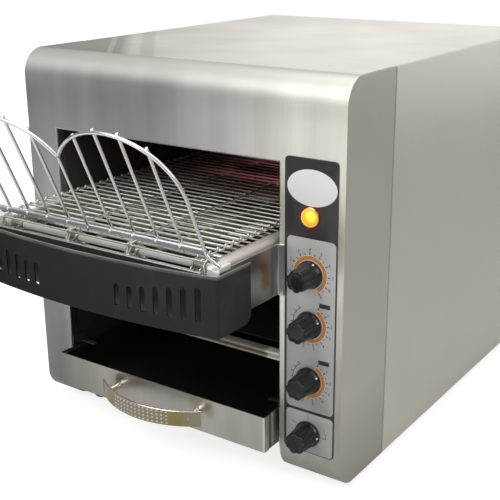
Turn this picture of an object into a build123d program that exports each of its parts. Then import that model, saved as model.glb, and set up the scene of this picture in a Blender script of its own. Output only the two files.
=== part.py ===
from build123d import *
import math
import os

# Conveyor toaster: a wire belt carries bread from the front rack under quartz elements, and the
# toast drops down a chute into the drawer below the feed.  Millimetres, +X to the user's right,
# +Y to the rear, +Z up.  Every sub-part is drawn with the housing's face on y = 0 and the housing's
# underside on z = 0, and is moved at the end so that the origin is the centre of the footprint
# on the surface that the feet stand on.

# ---------------------------------------------------------------- driving dimensions
BODY_W = 368.0            # housing width
BODY_D = 447.0            # face to rear panel
BODY_H = 374.0            # housing height above its feet
SHEET = 1.2               # outer sheet metal
BEND_R = 25.0             # outside radius of the face's top and bottom bends
SEAM_Y = 84.0             # depth of the front shell
SEAM_GAP = 0.4            # open joint between the front shell and the rear wrap
SEAM_STRIP = 20.0         # width of the frame that laps the joint inside
FOOT_H = 10.0
FOOT_R = 14.0
FOOT_TAPER = 3.0
FOOT_INSET = 42.0         # foot centre from the housing's edges

LEFT_POST = 39.0          # face left of the opening
CONTROL_BAY = 65.0        # face right of the opening, with the controls
OPEN_Z0 = 26.0
OPEN_Z1 = 298.0
RETURN_DEPTH = 10.0       # inward flanges round the opening

PITCH = 11.0              # belt strand pitch
REAR_ROOM = 120.0         # least space between the drive shaft and the rear panel
TEETH = 6                 # pitches round one sprocket
WIRE = 1.8                # belt wire
HOOK_HALF = 2.0           # hooks that reach towards the next strand
HOOK_TIP_HALF = 1.2
SHAFT_Z = 225.0
FRONT_SHAFT_Y = -80.0
SPROCKET_EDGE = 13.0      # outer sprockets in from the belt's edges
SPROCKET_W = 12.6
GROOVE_HALF = 3.4         # groove between a sprocket's rims, where the hooks pass
GROOVE_R = 6.8
TOOTH_H = 1.1
TUBE_R = 4.75             # spacer tubes on the shafts
JOURNAL_R = 3.0
RUN_FIT = 0.06            # radial running clearance of a journal
FREE_GAP = 0.3            # clearance of parts that pass each other
HOLE_FIT = 1.0            # radial room round what passes through a wall

PLATE_FIT = 0.5           # feed unit's side plates in from the opening's edges
PLATE = 1.2
PLATE_Z0 = 178.4
PLATE_Z1 = 225.7
PLATE_FLANGE = 6.0        # flange against the housing's face
RAIL_W = 14.1             # conveyor rails
RAIL_Z0 = 216.5           # between the belt's two runs
RAIL_Z1 = 229.0
RAIL_WALL = 1.5
BLOCK_W = 9.3             # front corner blocks
JOURNAL_L = 8.0           # idler's journals in their blind bores
BELT_GAP = 1.0            # belt's edge to the corner blocks
BLOCK_FRONT = 14.3        # ahead of the front shaft
BLOCK_BACK = 9.0
BLOCK_Z0 = 206.0
BLOCK_Z1 = 231.0
REAR_BLOCK_HALF = 16.0
LIP_Z1 = 224.3
HEM_R = 1.3
ROD_R = 3.0               # rods between the rails
ROD_INSET = 30.0
ROD_DROP = 2.5
STRIP_T = 2.0
STRIP_FIT = 0.1

FASCIA_CLEAR = 12.5       # guard's side wings outside the side plates
FASCIA_Z0 = 176.0
FASCIA_Z1 = 228.6
FASCIA_NOSE = 118.5       # furthest reach of the bowed front ahead of the face
FASCIA_BOW = 13.1
FASCIA_T = 1.5
WING_REAR = 60.0          # rear edge of the wings ahead of the face
WING_CHAMFER = 6.0
TAB_INSET = 12.0          # stand-off tabs from the guard's top and bottom
TAB_L = 12.0
TAB_H = 8.0
SLOT_W = 5.2
SLOT_Z0 = 187.5
SLOT_COUNT = 7
SLOT_FIRST = 47.5         # innermost slot from the centre plane
SLOT_STEP = 13.1
SLOT_SHORT = 20.0
SLOT_LONG = 30.0

RACK_LEAN = 24.2          # degrees from upright
RACK_Y = -96.0            # foot line of the rack
RACK_Z = 243.0
RACK_VALLEY = 74.0
RACK_SHOULDER = 50.0      # where the outer legs start to bend
RACK_TURN_X = 22.0        # end of the outer bend, in from the leg
RACK_TURN_RISE = 42.0     # and up from the shoulder
RACK_WIRES = 4            # inner wires of one arch
RACK_FRAME_R = 1.6
RACK_WIRE_R = 1.4
RACK_POKE = 2.0
RACK_BAR_H = 6.0
RACK_BAR_T = 2.0
TAIL = 23.0               # leg below the foot line
SOCKET_FIT = 0.25
WELD = 0.2                # how far welded wires sink into each other

WALL = 1.0
WALL_TOP = 338.0
WALL_BACK = 55.0          # chamber walls' rear edge to the rear of the housing
WALL_NOTCH = 30.0
WALL_FOOT = 13.0          # turned-out foot on the base pan
RAIL_BAR_Z0 = 112.0       # cross rail under the feed opening
RAIL_BAR_Z1 = 121.0
RAIL_BAR_D = 8.0

TUBE_ELEMENT_R = 5.0
ELEMENT_COUNT = 4
ELEMENT_Y = 35.0
ELEMENT_STEP = 50.0
UPPER_ELEMENT_Z = 304.0
LOWER_ELEMENT_Z = 198.0
CAP_R = 9.0
CAP_L = 16.0
CAP_DEPTH = 12.0          # how deep a tube sits in its cap
REFLECTOR_T = 0.8
REFLECTOR_RISE = 18.0     # reflector behind its elements
REFLECTOR_EDGE = 7.0
REFLECTOR_Y0 = 14.0
REFLECTOR_Y1 = 215.0

CHUTE_T = 1.0
CHUTE_R = 90.0
CHUTE_TOP = 198.0
CHUTE_REACH = 120.0       # front edge of the chute
CHUTE_SLOPE = 12.0
CHUTE_BACK_TOP = 300.0

DRAWER_FIT = 2.3          # drawer front in from the opening's edges
DRAWER_Z0 = 28.0
DRAWER_Z1 = 63.7
DRAWER_OUT = 20.0         # how far the drawer stands out at rest
DRAWER_BACK = 97.0        # how much shorter the drawer is than the housing
DRAWER_T = 1.2
PAN_INSET = 2.7           # pan's sides in from the edges of its front
PAN_Z0 = 30.0
PAN_Z1 = 62.0
RUNNER_T = 1.5
RUNNER_W = 5.0            # how far the shelf reaches under the pan
RUNNER_H = 12.0
RUNNER_FIT = 0.8

TAB_REACH = 20.0          # hold-down tabs over the drawer's sides
TAB_WIDTH = 6.0
TAB_BACK = 18.0           # rear edge of the tabs behind the face
TAB_FOOT_H = 10.0
TAB_CLEAR = 0.5           # above the drawer front's top edge
HANDLE_MID = 1.8          # middle of the handle right of the opening's centre plane
HANDLE_HALF = 63.2
HANDLE_REACH = 31.5       # middle of the strap ahead of the drawer front
HANDLE_BOW = 22.5
HANDLE_H = 16.5
HANDLE_T = 2.4
HANDLE_Z = 47.5
POST_X = 49.5
POST_R = 3.5

PANEL_MARGIN = 6.5        # control panel in from the edges of its bay
PANEL_Z0 = 30.8
PANEL_Z1 = 305.3
PANEL_T = 1.0
PANEL_R = 4.0
DIAL_Z = (204.0, 157.2, 103.8, 50.5)      # speed, top heat, bottom heat, mode
DIAL_REST = (26.0, 64.0, 60.0, 91.0)      # degrees right of upright that each pointer shows
KNOB_SKIRT_R = 12.6
KNOB_SKIRT_T = 4.0
KNOB_GRIP_R = 10.8
KNOB_GRIP_TIP_R = 10.0
KNOB_L = 24.5
KNOB_FLUTES = 7
FLUTE_R = 2.6
STEM_R = 3.0
STEM_DEPTH = 11.0         # stem inside its switch or thermostat
KNOB_LIFT = 0.4           # skirt clear of the panel
CONTROL_W = 26.0
CONTROL_D = 18.0
MODE_D = 26.0
BLADE_W = 12.0
LAMP_Z = 254.0
LAMP_R = 9.5
LENS_R = 8.2
LAMP_PROUD = 3.0
LENS_DOME = 1.2
LENS_FIT = 0.05
LENS_BODY = 12.0

MOTOR_W = 46.0
GEARBOX_L = 18.0
SHAFT_IN_MOTOR = 15.0
MOTOR_R = 18.0
MOTOR_L = 30.0
FAN_MARGIN = 6.5
FAN_D = 20.0
FAN_RIM = 2.0
FAN_HUB_R = 10.0
FAN_Z = 120.0
FAN_BLADES = 5
FAN_GAP = 2.0
SPIDER_T = 3.0
SPIDER_W = 4.0
PIN_R = 1.5
PIN_L = 8.0
BLADE_T = 1.4
BLADE_TILT = 38.0
LOUVRE_OUT = 5.0          # how far a louvre's hood stands out
LOUVRE_RISE = 8.0
LOUVRE_STEP = 12.0
LOUVRE_COUNT = 4
LOUVRE_SKIN = 1.0
VENT_COUNT = 9            # warm-air slots along the rear panel
VENT_W = 18.0
VENT_H = 4.0
VENT_STEP = 26.0
VENT_Z = 318.0
GLAND_R = 10.0
GLAND_FLANGE = 4.0
GLAND_NECK_R = 7.0
GLAND_BORE_R = 3.5
GLAND_OUT = 12.0
GLAND_IN = 8.0
GLAND_Z = 40.0
SCREW_R = 3.6
SCREW_H = 1.8
SCREW_INSET = 12.0
TERMINAL_W = 28.0
TERMINAL_D = 22.0
TERMINAL_H = 14.0
TERMINAL_BACK = 45.0      # terminal block to the rear panel
POLE_COUNT = 3
POLE_STEP = 9.0
POLE_W = 5.0

# ---------------------------------------------------------------- derived places
INNER_W = BODY_W / 2 - SHEET
OPEN_X0 = -BODY_W / 2 + LEFT_POST
OPEN_X1 = BODY_W / 2 - CONTROL_BAY
OPEN_W = OPEN_X1 - OPEN_X0
MID_X = (OPEN_X0 + OPEN_X1) / 2           # centre plane of the opening, conveyor and drawer
WALL_IN = OPEN_W / 2 + SHEET
WALL_REAR = BODY_D - WALL_BACK
PITCH_R = PITCH / (2 * math.sin(math.pi / TEETH))
RUN_STEPS = math.floor((BODY_D - REAR_ROOM - FRONT_SHAFT_Y) / PITCH)
REAR_SHAFT_Y = FRONT_SHAFT_Y + RUN_STEPS * PITCH
FRONT_END = FRONT_SHAFT_Y - BLOCK_FRONT
PLATE_HALF = OPEN_W / 2 - PLATE_FIT
PLATE_IN = PLATE_HALF - PLATE
RAIL_OUT = PLATE_IN - PLATE
RAIL_IN = RAIL_OUT - RAIL_W
BLOCK_IN = PLATE_IN - BLOCK_W
JOURNAL_END = BLOCK_IN + JOURNAL_L
RACK_HALF = BLOCK_IN + BLOCK_W / 2
BELT_W = 2 * (BLOCK_IN - BELT_GAP)
SPROCKET_OUT = BELT_W / 2 - SPROCKET_EDGE
HOOK_X = SPROCKET_OUT / 3                 # hook stations, over the inner sprockets' grooves
SPROCKET_X = (-SPROCKET_OUT, -HOOK_X, HOOK_X, SPROCKET_OUT)
FASCIA_HALF = PLATE_HALF + FASCIA_CLEAR
DRAWER_HALF = OPEN_W / 2 - DRAWER_FIT
PAN_HALF = DRAWER_HALF - PAN_INSET
DRAWER_L = BODY_D - DRAWER_BACK
PANEL_X = BODY_W / 2 - CONTROL_BAY / 2    # centre line of the controls
PANEL_W = CONTROL_BAY - 2 * PANEL_MARGIN
FAN_W = CONTROL_BAY - 2 * FAN_MARGIN
FAN_BORE = FAN_W / 2 - FAN_RIM
LOUVRE_W = 2 * FAN_BORE - 2 * FAN_RIM
TERMINAL_Y = BODY_D - TERMINAL_BACK - TERMINAL_D
LEAN = math.radians(RACK_LEAN)
BOX_X0 = MID_X + WALL_IN + WALL
BOX_MID = (BOX_X0 + INNER_W) / 2
SPROCKET_TIP = PITCH_R * math.cos(math.pi / TEETH) + WIRE / 4 - FREE_GAP


# ---------------------------------------------------------------- shapes used by several sub-parts
def block(x0, x1, y0, y1, z0, z1):
    return Pos((x0 + x1) / 2, (y0 + y1) / 2, (z0 + z1) / 2) * Box(x1 - x0, y1 - y0, z1 - z0)


def rod_x(radius, x0, x1, y, z):
    return Pos((x0 + x1) / 2, y, z) * Rot(0, 90, 0) * Cylinder(radius, x1 - x0)


def rod_y(radius, y0, y1, x, z):
    return Pos(x, (y0 + y1) / 2, z) * Rot(90, 0, 0) * Cylinder(radius, y1 - y0)


def side_profile(outline, x0, x1):
    """A closed outline drawn in (y, z), run across from x0 to x1."""
    plane = Plane(origin=(x0, 0, 0), x_dir=(0, 1, 0), z_dir=(1, 0, 0))
    return extrude(plane * outline, x1 - x0)


def plan_profile(outline, z0, z1):
    """A closed outline drawn in (x, y), run up from z0 to z1."""
    return extrude(Pos(0, 0, z0) * outline, z1 - z0)


def both_sides(make):
    """The same piece on the right and the left of the conveyor's centre plane."""
    piece = make()
    return piece, mirror(piece, about=Plane(origin=(MID_X, 0, 0), z_dir=(1, 0, 0)))


def to_right(u):
    return MID_X + u


# ---------------------------------------------------------------- housing
def shell_profile(inset, rear):
    """Side outline of the front shell: flat face, rounded top and bottom front edges."""
    radius = BEND_R - inset
    height = BODY_H - 2 * inset
    depth = rear - inset
    outline = Pos(inset + depth / 2, BODY_H / 2) * Rectangle(depth, height)
    front = outline.vertices().sort_by(Axis.X)[:2]
    return fillet(front, radius)


def front_shell():
    outer = side_profile(shell_profile(0, SEAM_Y), -BODY_W / 2, BODY_W / 2)
    inner = side_profile(shell_profile(SHEET, SEAM_Y + SHEET), -INNER_W, INNER_W)
    opening = block(OPEN_X0, OPEN_X1, -1, SEAM_Y, OPEN_Z0, OPEN_Z1)
    shell = outer - inner
    frame = block(OPEN_X0 - SHEET, OPEN_X1 + SHEET, SHEET / 2, RETURN_DEPTH, OPEN_Z0, OPEN_Z1 + SHEET)
    shell = shell + frame - opening
    for height in DIAL_Z:
        shell = shell - rod_y(STEM_R + FREE_GAP, -1, SHEET + 1, PANEL_X, height)
    return shell - rod_y(LENS_R, -1, SHEET + 1, PANEL_X, LAMP_Z)


def seam_frame():
    y0 = SEAM_Y + (SEAM_GAP - SEAM_STRIP) / 2
    y1 = y0 + SEAM_STRIP
    half = INNER_W - WALL
    outer = block(-INNER_W, INNER_W, y0, y1, SHEET, BODY_H - SHEET)
    return outer - block(-half, half, y0 - 1, y1 + 1, SHEET + WALL, BODY_H - SHEET - WALL)


def side_panel(side):
    outer = side * BODY_W / 2
    inner = side * INNER_W
    x0, x1 = min(outer, inner), max(outer, inner)
    return block(x0, x1, SEAM_Y + SEAM_GAP, BODY_D, 0, BODY_H - SHEET)


def top_panel():
    return block(-BODY_W / 2, BODY_W / 2, SEAM_Y + SEAM_GAP, BODY_D, BODY_H - SHEET, BODY_H)


def base_pan():
    return block(-INNER_W, INNER_W, SEAM_Y + SEAM_GAP, BODY_D, 0, SHEET)


def louvre(z):
    """One pressed louvre: a sloping hood over its slot, open downwards."""
    half = LOUVRE_W / 2
    slope = LOUVRE_RISE / LOUVRE_OUT
    face = Polyline((BODY_D, z), (BODY_D + LOUVRE_OUT, z), (BODY_D, z + LOUVRE_RISE), close=True)
    hood = side_profile(make_face(face), BOX_MID - half, BOX_MID + half)
    tip = BODY_D + LOUVRE_OUT - LOUVRE_SKIN
    deep = BODY_D - 2 * SHEET
    face = Polyline((deep, z - 1), (tip + 1 / slope, z - 1), (deep, z + (tip - deep) * slope), close=True)
    half = half - LOUVRE_SKIN
    hollow = side_profile(make_face(face), BOX_MID - half, BOX_MID + half)
    return hood, hollow


def rear_panel():
    """Back sheet with louvres behind the fan, the cord's hole and a row of warm-air slots."""
    panel = block(-INNER_W, INNER_W, BODY_D - SHEET, BODY_D, SHEET, BODY_H - SHEET)
    panel = panel - rod_y(GLAND_NECK_R, BODY_D - 2 * SHEET, BODY_D + 1, BOX_MID, GLAND_Z)
    first = FAN_Z - (LOUVRE_COUNT - 1) * LOUVRE_STEP / 2 - LOUVRE_RISE / 2
    for step in range(LOUVRE_COUNT):
        hood, hollow = louvre(first + step * LOUVRE_STEP)
        panel = panel + hood - hollow
    half = VENT_W / 2
    for step in range(VENT_COUNT):
        x = to_right((step - (VENT_COUNT - 1) / 2) * VENT_STEP)
        panel = panel - block(x - half, x + half, BODY_D - 2 * SHEET, BODY_D + 1, VENT_Z, VENT_Z + VENT_H)
    return panel


def feet():
    placed = []
    for x in (-BODY_W / 2 + FOOT_INSET, BODY_W / 2 - FOOT_INSET):
        for y in (FOOT_INSET, BODY_D - FOOT_INSET):
            placed.append(Pos(x, y, -FOOT_H / 2) * Cone(FOOT_R - FOOT_TAPER, FOOT_R, FOOT_H))
    return placed


def rear_screws():
    placed = []
    for x in (-INNER_W + SCREW_INSET, 0, INNER_W - SCREW_INSET):
        for z in (SHEET + SCREW_INSET, BODY_H - SHEET - SCREW_INSET):
            placed.append(rod_y(SCREW_R, BODY_D, BODY_D + SCREW_H, x, z))
    return placed


def cord_gland():
    """Round strain-relief bush in the rear panel, open for a cord."""
    flange = rod_y(GLAND_R, BODY_D, BODY_D + GLAND_FLANGE, BOX_MID, GLAND_Z)
    snout = rod_y(GLAND_R - 2, BODY_D + GLAND_FLANGE, BODY_D + GLAND_OUT, BOX_MID, GLAND_Z)
    neck = rod_y(GLAND_NECK_R, BODY_D - GLAND_IN, BODY_D, BOX_MID, GLAND_Z)
    bore = rod_y(GLAND_BORE_R, BODY_D - GLAND_IN - 1, BODY_D + GLAND_OUT + 1, BOX_MID, GLAND_Z)
    return flange + snout + neck - bore


# ---------------------------------------------------------------- toasting chamber
def chamber_wall():
    """Wall beside the belt, notched behind the face's bottom bend."""
    y0 = SHEET
    base = SHEET + WALL
    corners = Polyline(
        (WALL_NOTCH, base),
        (WALL_REAR, base),
        (WALL_REAR, WALL_TOP),
        (y0, WALL_TOP),
        (y0, WALL_NOTCH),
        (WALL_NOTCH, WALL_NOTCH),
        close=True,
    )
    wall = side_profile(make_face(corners), to_right(WALL_IN), to_right(WALL_IN + WALL))
    foot_y = SEAM_Y + SEAM_STRIP
    wall = wall + block(to_right(WALL_IN), to_right(WALL_IN + WALL_FOOT), foot_y, WALL_REAR, SHEET, base)
    x0 = to_right(WALL_IN - 1)
    x1 = to_right(WALL_IN + WALL + 1)
    for y in element_places():
        for z in (UPPER_ELEMENT_Z, LOWER_ELEMENT_Z):
            wall = wall - rod_x(TUBE_ELEMENT_R + HOLE_FIT, x0, x1, y, z)
    return wall - rod_x(JOURNAL_R + HOLE_FIT, x0, x1, REAR_SHAFT_Y, SHAFT_Z)


def element_places():
    return [ELEMENT_Y + ELEMENT_STEP * step for step in range(ELEMENT_COUNT)]


def elements(z):
    half = WALL_IN + WALL + CAP_DEPTH
    return [rod_x(TUBE_ELEMENT_R, to_right(-half), to_right(half), y, z) for y in element_places()]


def element_caps(z):
    placed = []
    inner = WALL_IN + WALL
    for y in element_places():
        for side in (-1, 1):
            x0, x1 = sorted((to_right(side * inner), to_right(side * (inner + CAP_L))))
            cap = rod_x(CAP_R, x0, x1, y, z)
            b0, b1 = sorted((to_right(side * (inner - 1)), to_right(side * (inner + CAP_DEPTH))))
            placed.append(cap - rod_x(TUBE_ELEMENT_R + RUN_FIT, b0, b1, y, z))
    return placed


def reflector(z, turn):
    """Shallow tray of bright sheet, its four edges turned towards the elements."""
    half = WALL_IN
    z0, z1 = sorted((z, z + turn * REFLECTOR_T))
    sheet = block(to_right(-half), to_right(half), REFLECTOR_Y0, REFLECTOR_Y1, z0, z1)
    e0, e1 = sorted((z, z - turn * REFLECTOR_EDGE))
    for y in (REFLECTOR_Y0, REFLECTOR_Y1 - REFLECTOR_T):
        sheet = sheet + block(to_right(-half), to_right(half), y, y + REFLECTOR_T, e0, e1)
    return sheet


def toast_chute():
    """Rear guard that turns into a slope, so that toast comes back towards the user."""
    turn = math.radians(90 - CHUTE_SLOPE)
    y_back = WALL_REAR - 4
    centre_y = y_back - CHUTE_R
    drop = math.tan(math.radians(CHUTE_SLOPE))

    def run(offset):
        radius = CHUTE_R - offset
        mid = (centre_y + radius * math.cos(turn / 2), CHUTE_TOP - radius * math.sin(turn / 2))
        low = (centre_y + radius * math.cos(turn), CHUTE_TOP - radius * math.sin(turn))
        end = (CHUTE_REACH, low[1] - (low[0] - CHUTE_REACH) * drop)
        top = (y_back - offset, CHUTE_BACK_TOP)
        return top, (y_back - offset, CHUTE_TOP), mid, low, end

    a = run(0)
    b = run(CHUTE_T)
    edges = [
        Line(a[0], a[1]),
        ThreePointArc(a[1], a[2], a[3]),
        Line(a[3], a[4]),
        Line(a[4], b[4]),
        Line(b[4], b[3]),
        ThreePointArc(b[3], b[2], b[1]),
        Line(b[1], b[0]),
        Line(b[0], a[0]),
    ]
    return side_profile(make_face(Wire(edges)), to_right(-WALL_IN), to_right(WALL_IN))


def cross_rail():
    """Folded rail below the feed: a channel open to the rear with a second lip in front of it."""
    y0 = SHEET + FREE_GAP
    y1 = y0 + RAIL_BAR_D
    rail = block(OPEN_X0, OPEN_X1, y0, y1, RAIL_BAR_Z0, RAIL_BAR_Z1)
    z0 = RAIL_BAR_Z0 + SHEET
    z1 = RAIL_BAR_Z1 - SHEET
    rail = rail - block(OPEN_X0 - 1, OPEN_X1 + 1, y0 + SHEET, y1 + 1, z0, z1)
    step = (RAIL_BAR_Z0 + RAIL_BAR_Z1) / 2
    return rail + block(OPEN_X0, OPEN_X1, FREE_GAP, y0, step, RAIL_BAR_Z1)


# ---------------------------------------------------------------- feed unit
def feed_plate():
    """Side plate of the feed unit with its flange on the housing's face."""
    plate = block(to_right(PLATE_IN), to_right(PLATE_HALF), FRONT_END, 0, PLATE_Z0, PLATE_Z1)
    flange = block(to_right(PLATE_IN), to_right(PLATE_HALF + PLATE_FLANGE), -PLATE, 0, PLATE_Z0, PLATE_Z1)
    return plate + flange


def rail():
    """Conveyor rail: a channel open outwards, its upper outside edge rounded."""
    y0 = FRONT_SHAFT_Y + BLOCK_BACK
    y1 = REAR_SHAFT_Y - REAR_BLOCK_HALF
    height = RAIL_Z1 - RAIL_Z0
    middle = (RAIL_Z0 + RAIL_Z1) / 2
    section = Pos((RAIL_IN + RAIL_OUT) / 2, middle) * Rectangle(RAIL_OUT - RAIL_IN, height)
    corner = section.vertices().sort_by(Axis.X)[2:].sort_by(Axis.Y)[-1]
    section = fillet(corner, 2 * RAIL_WALL)
    hollow = Pos(RAIL_OUT, middle - RAIL_WALL) * Rectangle(
        2 * (RAIL_OUT - RAIL_IN - RAIL_WALL),
        height - 4 * RAIL_WALL,
    )
    plane = Plane(origin=(MID_X, y0, 0), x_dir=(1, 0, 0), z_dir=(0, -1, 0))
    return extrude(plane * (section - hollow), -(y1 - y0))


def rack_point(u, s, lift=0.0):
    """A point on the rack's sloping plane: u across from the centre plane, s up the slope."""
    y = RACK_Y - s * math.sin(LEAN) + lift * math.cos(LEAN)
    z = RACK_Z + s * math.cos(LEAN) + lift * math.sin(LEAN)
    return Vector(MID_X + u, y, z)


def rack_rod(radius, u, s0, s1, lift):
    path = Line(rack_point(u, s0, lift), rack_point(u, s1, lift))
    return extrude(Plane(path @ 0, z_dir=path % 0) * Circle(radius), path.length)


def corner_block():
    """Front corner of the conveyor: the idler's bearing and the socket for the rack's leg."""
    y0 = FRONT_END
    y1 = FRONT_SHAFT_Y + BLOCK_BACK
    body = block(to_right(BLOCK_IN), to_right(PLATE_IN), y0, y1, BLOCK_Z0, BLOCK_Z1)
    x0 = to_right(BLOCK_IN - 1)
    x1 = to_right(JOURNAL_END + FREE_GAP)
    bore = rod_x(JOURNAL_R + RUN_FIT, x0, x1, FRONT_SHAFT_Y, SHAFT_Z)
    return body - bore - rack_rod(RACK_FRAME_R + SOCKET_FIT, RACK_HALF, -TAIL - SOCKET_FIT, 0, 0)


def rear_block():
    """Bearing block of the drive shaft, fixed inside the chamber wall."""
    y0 = REAR_SHAFT_Y - REAR_BLOCK_HALF
    y1 = REAR_SHAFT_Y + REAR_BLOCK_HALF
    body = block(to_right(BLOCK_IN), to_right(WALL_IN), y0, y1, RAIL_Z0, RAIL_Z1)
    x0 = to_right(BLOCK_IN - 1)
    x1 = to_right(WALL_IN + 1)
    return body - rod_x(JOURNAL_R + RUN_FIT, x0, x1, REAR_SHAFT_Y, SHAFT_Z)


def front_lip():
    """Front cross member, its top edge hemmed over."""
    y0 = FRONT_END - SHEET
    sheet = block(to_right(-PLATE_HALF), to_right(PLATE_HALF), y0, FRONT_END, PLATE_Z0, LIP_Z1)
    half = BLOCK_IN - HEM_R
    return sheet + rod_x(HEM_R, to_right(-half), to_right(half), FRONT_END - SHEET / 2, LIP_Z1)


def cross_rods():
    """Rods that tie the two conveyor rails together."""
    middle = (FRONT_SHAFT_Y + REAR_SHAFT_Y) / 2
    ys = (FRONT_SHAFT_Y + ROD_INSET, middle, REAR_SHAFT_Y - ROD_INSET)
    return [rod_x(ROD_R, to_right(-RAIL_IN), to_right(RAIL_IN), y, SHAFT_Z - ROD_DROP) for y in ys]


def wear_strips():
    """Strips on edge that carry the upper strands, saddled on the cross rods."""
    top = SHAFT_Z + PITCH_R - WIRE / 2 - STRIP_FIT
    y0 = FRONT_SHAFT_Y + ROD_INSET - 2 * ROD_R
    y1 = REAR_SHAFT_Y - ROD_INSET + 2 * ROD_R
    placed = []
    for u in (-2 * HOOK_X, 0.0, 2 * HOOK_X):
        strip = block(to_right(u) - STRIP_T / 2, to_right(u) + STRIP_T / 2, y0, y1, SHAFT_Z - ROD_DROP, top)
        for rod in cross_rods():
            strip = strip - rod
        placed.append(strip)
    return placed


def bow(u, inset=0.0):
    """How far behind the face's plane the guard's front lies at u from the centre plane."""
    return -FASCIA_NOSE + inset + FASCIA_BOW * (u / FASCIA_HALF) ** 2


def guard_outline(inset):
    """Plan of the bowed guard: a three-point arc in front and two straight wings."""
    half = FASCIA_HALF - inset
    end = bow(FASCIA_HALF) + inset
    rear = -WING_REAR + inset
    arc = ThreePointArc((MID_X - half, end), (MID_X, bow(0) + inset), (MID_X + half, end))
    right = Line((MID_X + half, end), (MID_X + half, rear))
    back = Line((MID_X + half, rear), (MID_X - half, rear))
    left = Line((MID_X - half, rear), (MID_X - half, end))
    return make_face(Wire([arc, right, back, left]))


def fascia():
    outer = plan_profile(guard_outline(0), FASCIA_Z0, FASCIA_Z1)
    inner = plan_profile(guard_outline(FASCIA_T), FASCIA_Z0 - 1, FASCIA_Z1 + 1)
    guard = outer - inner
    wedge = Polyline(
        (-WING_REAR - WING_CHAMFER, FASCIA_Z0),
        (-WING_REAR + 1, FASCIA_Z0 - 1),
        (-WING_REAR, FASCIA_Z0 + WING_CHAMFER),
        close=True,
    )
    guard = guard - side_profile(make_face(wedge), to_right(-FASCIA_HALF - 1), to_right(FASCIA_HALF + 1))
    for step in range(SLOT_COUNT):
        grow = (SLOT_LONG - SLOT_SHORT) * max(0, step - 1) / (SLOT_COUNT - 2)
        length = SLOT_SHORT + grow
        for side in (-1, 1):
            u = side * (SLOT_FIRST + step * SLOT_STEP)
            guard = guard - slot(to_right(u), length)
    return guard


def slot(x, length):
    flat = Pos(x, SLOT_Z0 + length / 2) * Rot(0, 0, 90) * SlotOverall(length, SLOT_W)
    plane = Plane(origin=(0, -FASCIA_NOSE - FASCIA_T, 0), x_dir=(1, 0, 0), z_dir=(0, -1, 0))
    return extrude(plane * flat, -FASCIA_BOW - 3 * FASCIA_T)


def fascia_tabs():
    """Stand-off tabs that hold the guard clear of the hot side plates."""
    placed = []
    y1 = -WING_REAR - WING_CHAMFER
    for side in (-1, 1):
        x0, x1 = sorted((to_right(side * PLATE_HALF), to_right(side * (FASCIA_HALF - FASCIA_T))))
        for z in (FASCIA_Z0 + TAB_INSET, FASCIA_Z1 - TAB_INSET):
            placed.append(block(x0, x1, y1 - TAB_L, y1, z - TAB_H / 2, z + TAB_H / 2))
    return placed


# ---------------------------------------------------------------- belt and shafts
def ribbon(points, width):
    """A flat strip of constant width that follows a polyline with mitred corners."""
    left, right = [], []
    for index, (x, y) in enumerate(points):
        before = points[max(index - 1, 0)]
        after = points[min(index + 1, len(points) - 1)]
        a = Vector(x - before[0], y - before[1]) if index else Vector(after[0] - x, after[1] - y)
        b = Vector(after[0] - x, after[1] - y) if index < len(points) - 1 else a
        a, b = a.normalized(), b.normalized()
        normal = Vector(-(a.Y + b.Y), a.X + b.X).normalized()
        reach = width / 2 / max(0.2, normal.dot(Vector(-a.Y, a.X)))
        left.append((x + normal.X * reach, y + normal.Y * reach))
        right.append((x - normal.X * reach, y - normal.Y * reach))
    return make_face(Polyline(*left, *reversed(right), close=True))


def strand():
    """One belt wire, flat in its own plane: end legs and hooks reach towards the next wire."""
    reach = PITCH - 0.75 * WIRE
    half = BELT_W / 2 - WIRE / 2
    tip = reach - WIRE * 0.95
    path = [(-half, reach), (-half, 0)]
    for u in (-HOOK_X, HOOK_X):
        path += [(u - HOOK_HALF, 0), (u - HOOK_TIP_HALF, tip), (u + HOOK_TIP_HALF, tip), (u + HOOK_HALF, 0)]
    path += [(half, 0), (half, reach)]
    return Pos(0, 0, -WIRE / 2) * extrude(ribbon(path, WIRE), WIRE)


def belt_points():
    """Where each strand crosses the side view, round the whole loop."""
    points = []
    for step in range(RUN_STEPS + 1):
        points.append((FRONT_SHAFT_Y + step * PITCH, SHAFT_Z + PITCH_R))
    for step in range(1, TEETH // 2):
        angle = math.pi / 2 - step * 2 * math.pi / TEETH
        points.append((REAR_SHAFT_Y + PITCH_R * math.cos(angle), SHAFT_Z + PITCH_R * math.sin(angle)))
    for step in range(RUN_STEPS + 1):
        points.append((REAR_SHAFT_Y - step * PITCH, SHAFT_Z - PITCH_R))
    for step in range(1, TEETH // 2):
        angle = -math.pi / 2 - step * 2 * math.pi / TEETH
        points.append((FRONT_SHAFT_Y + PITCH_R * math.cos(angle), SHAFT_Z + PITCH_R * math.sin(angle)))
    return points


def belt():
    wire = strand()
    points = belt_points()
    placed = []
    for index, (y, z) in enumerate(points):
        ahead = points[(index + 1) % len(points)]
        forward = Vector(0, ahead[0] - y, ahead[1] - z).normalized()
        normal = Vector(1, 0, 0).cross(forward)
        seat = Plane(origin=(MID_X, y, z), x_dir=(1, 0, 0), z_dir=normal)
        placed.append(seat * wire)
    return placed


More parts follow.
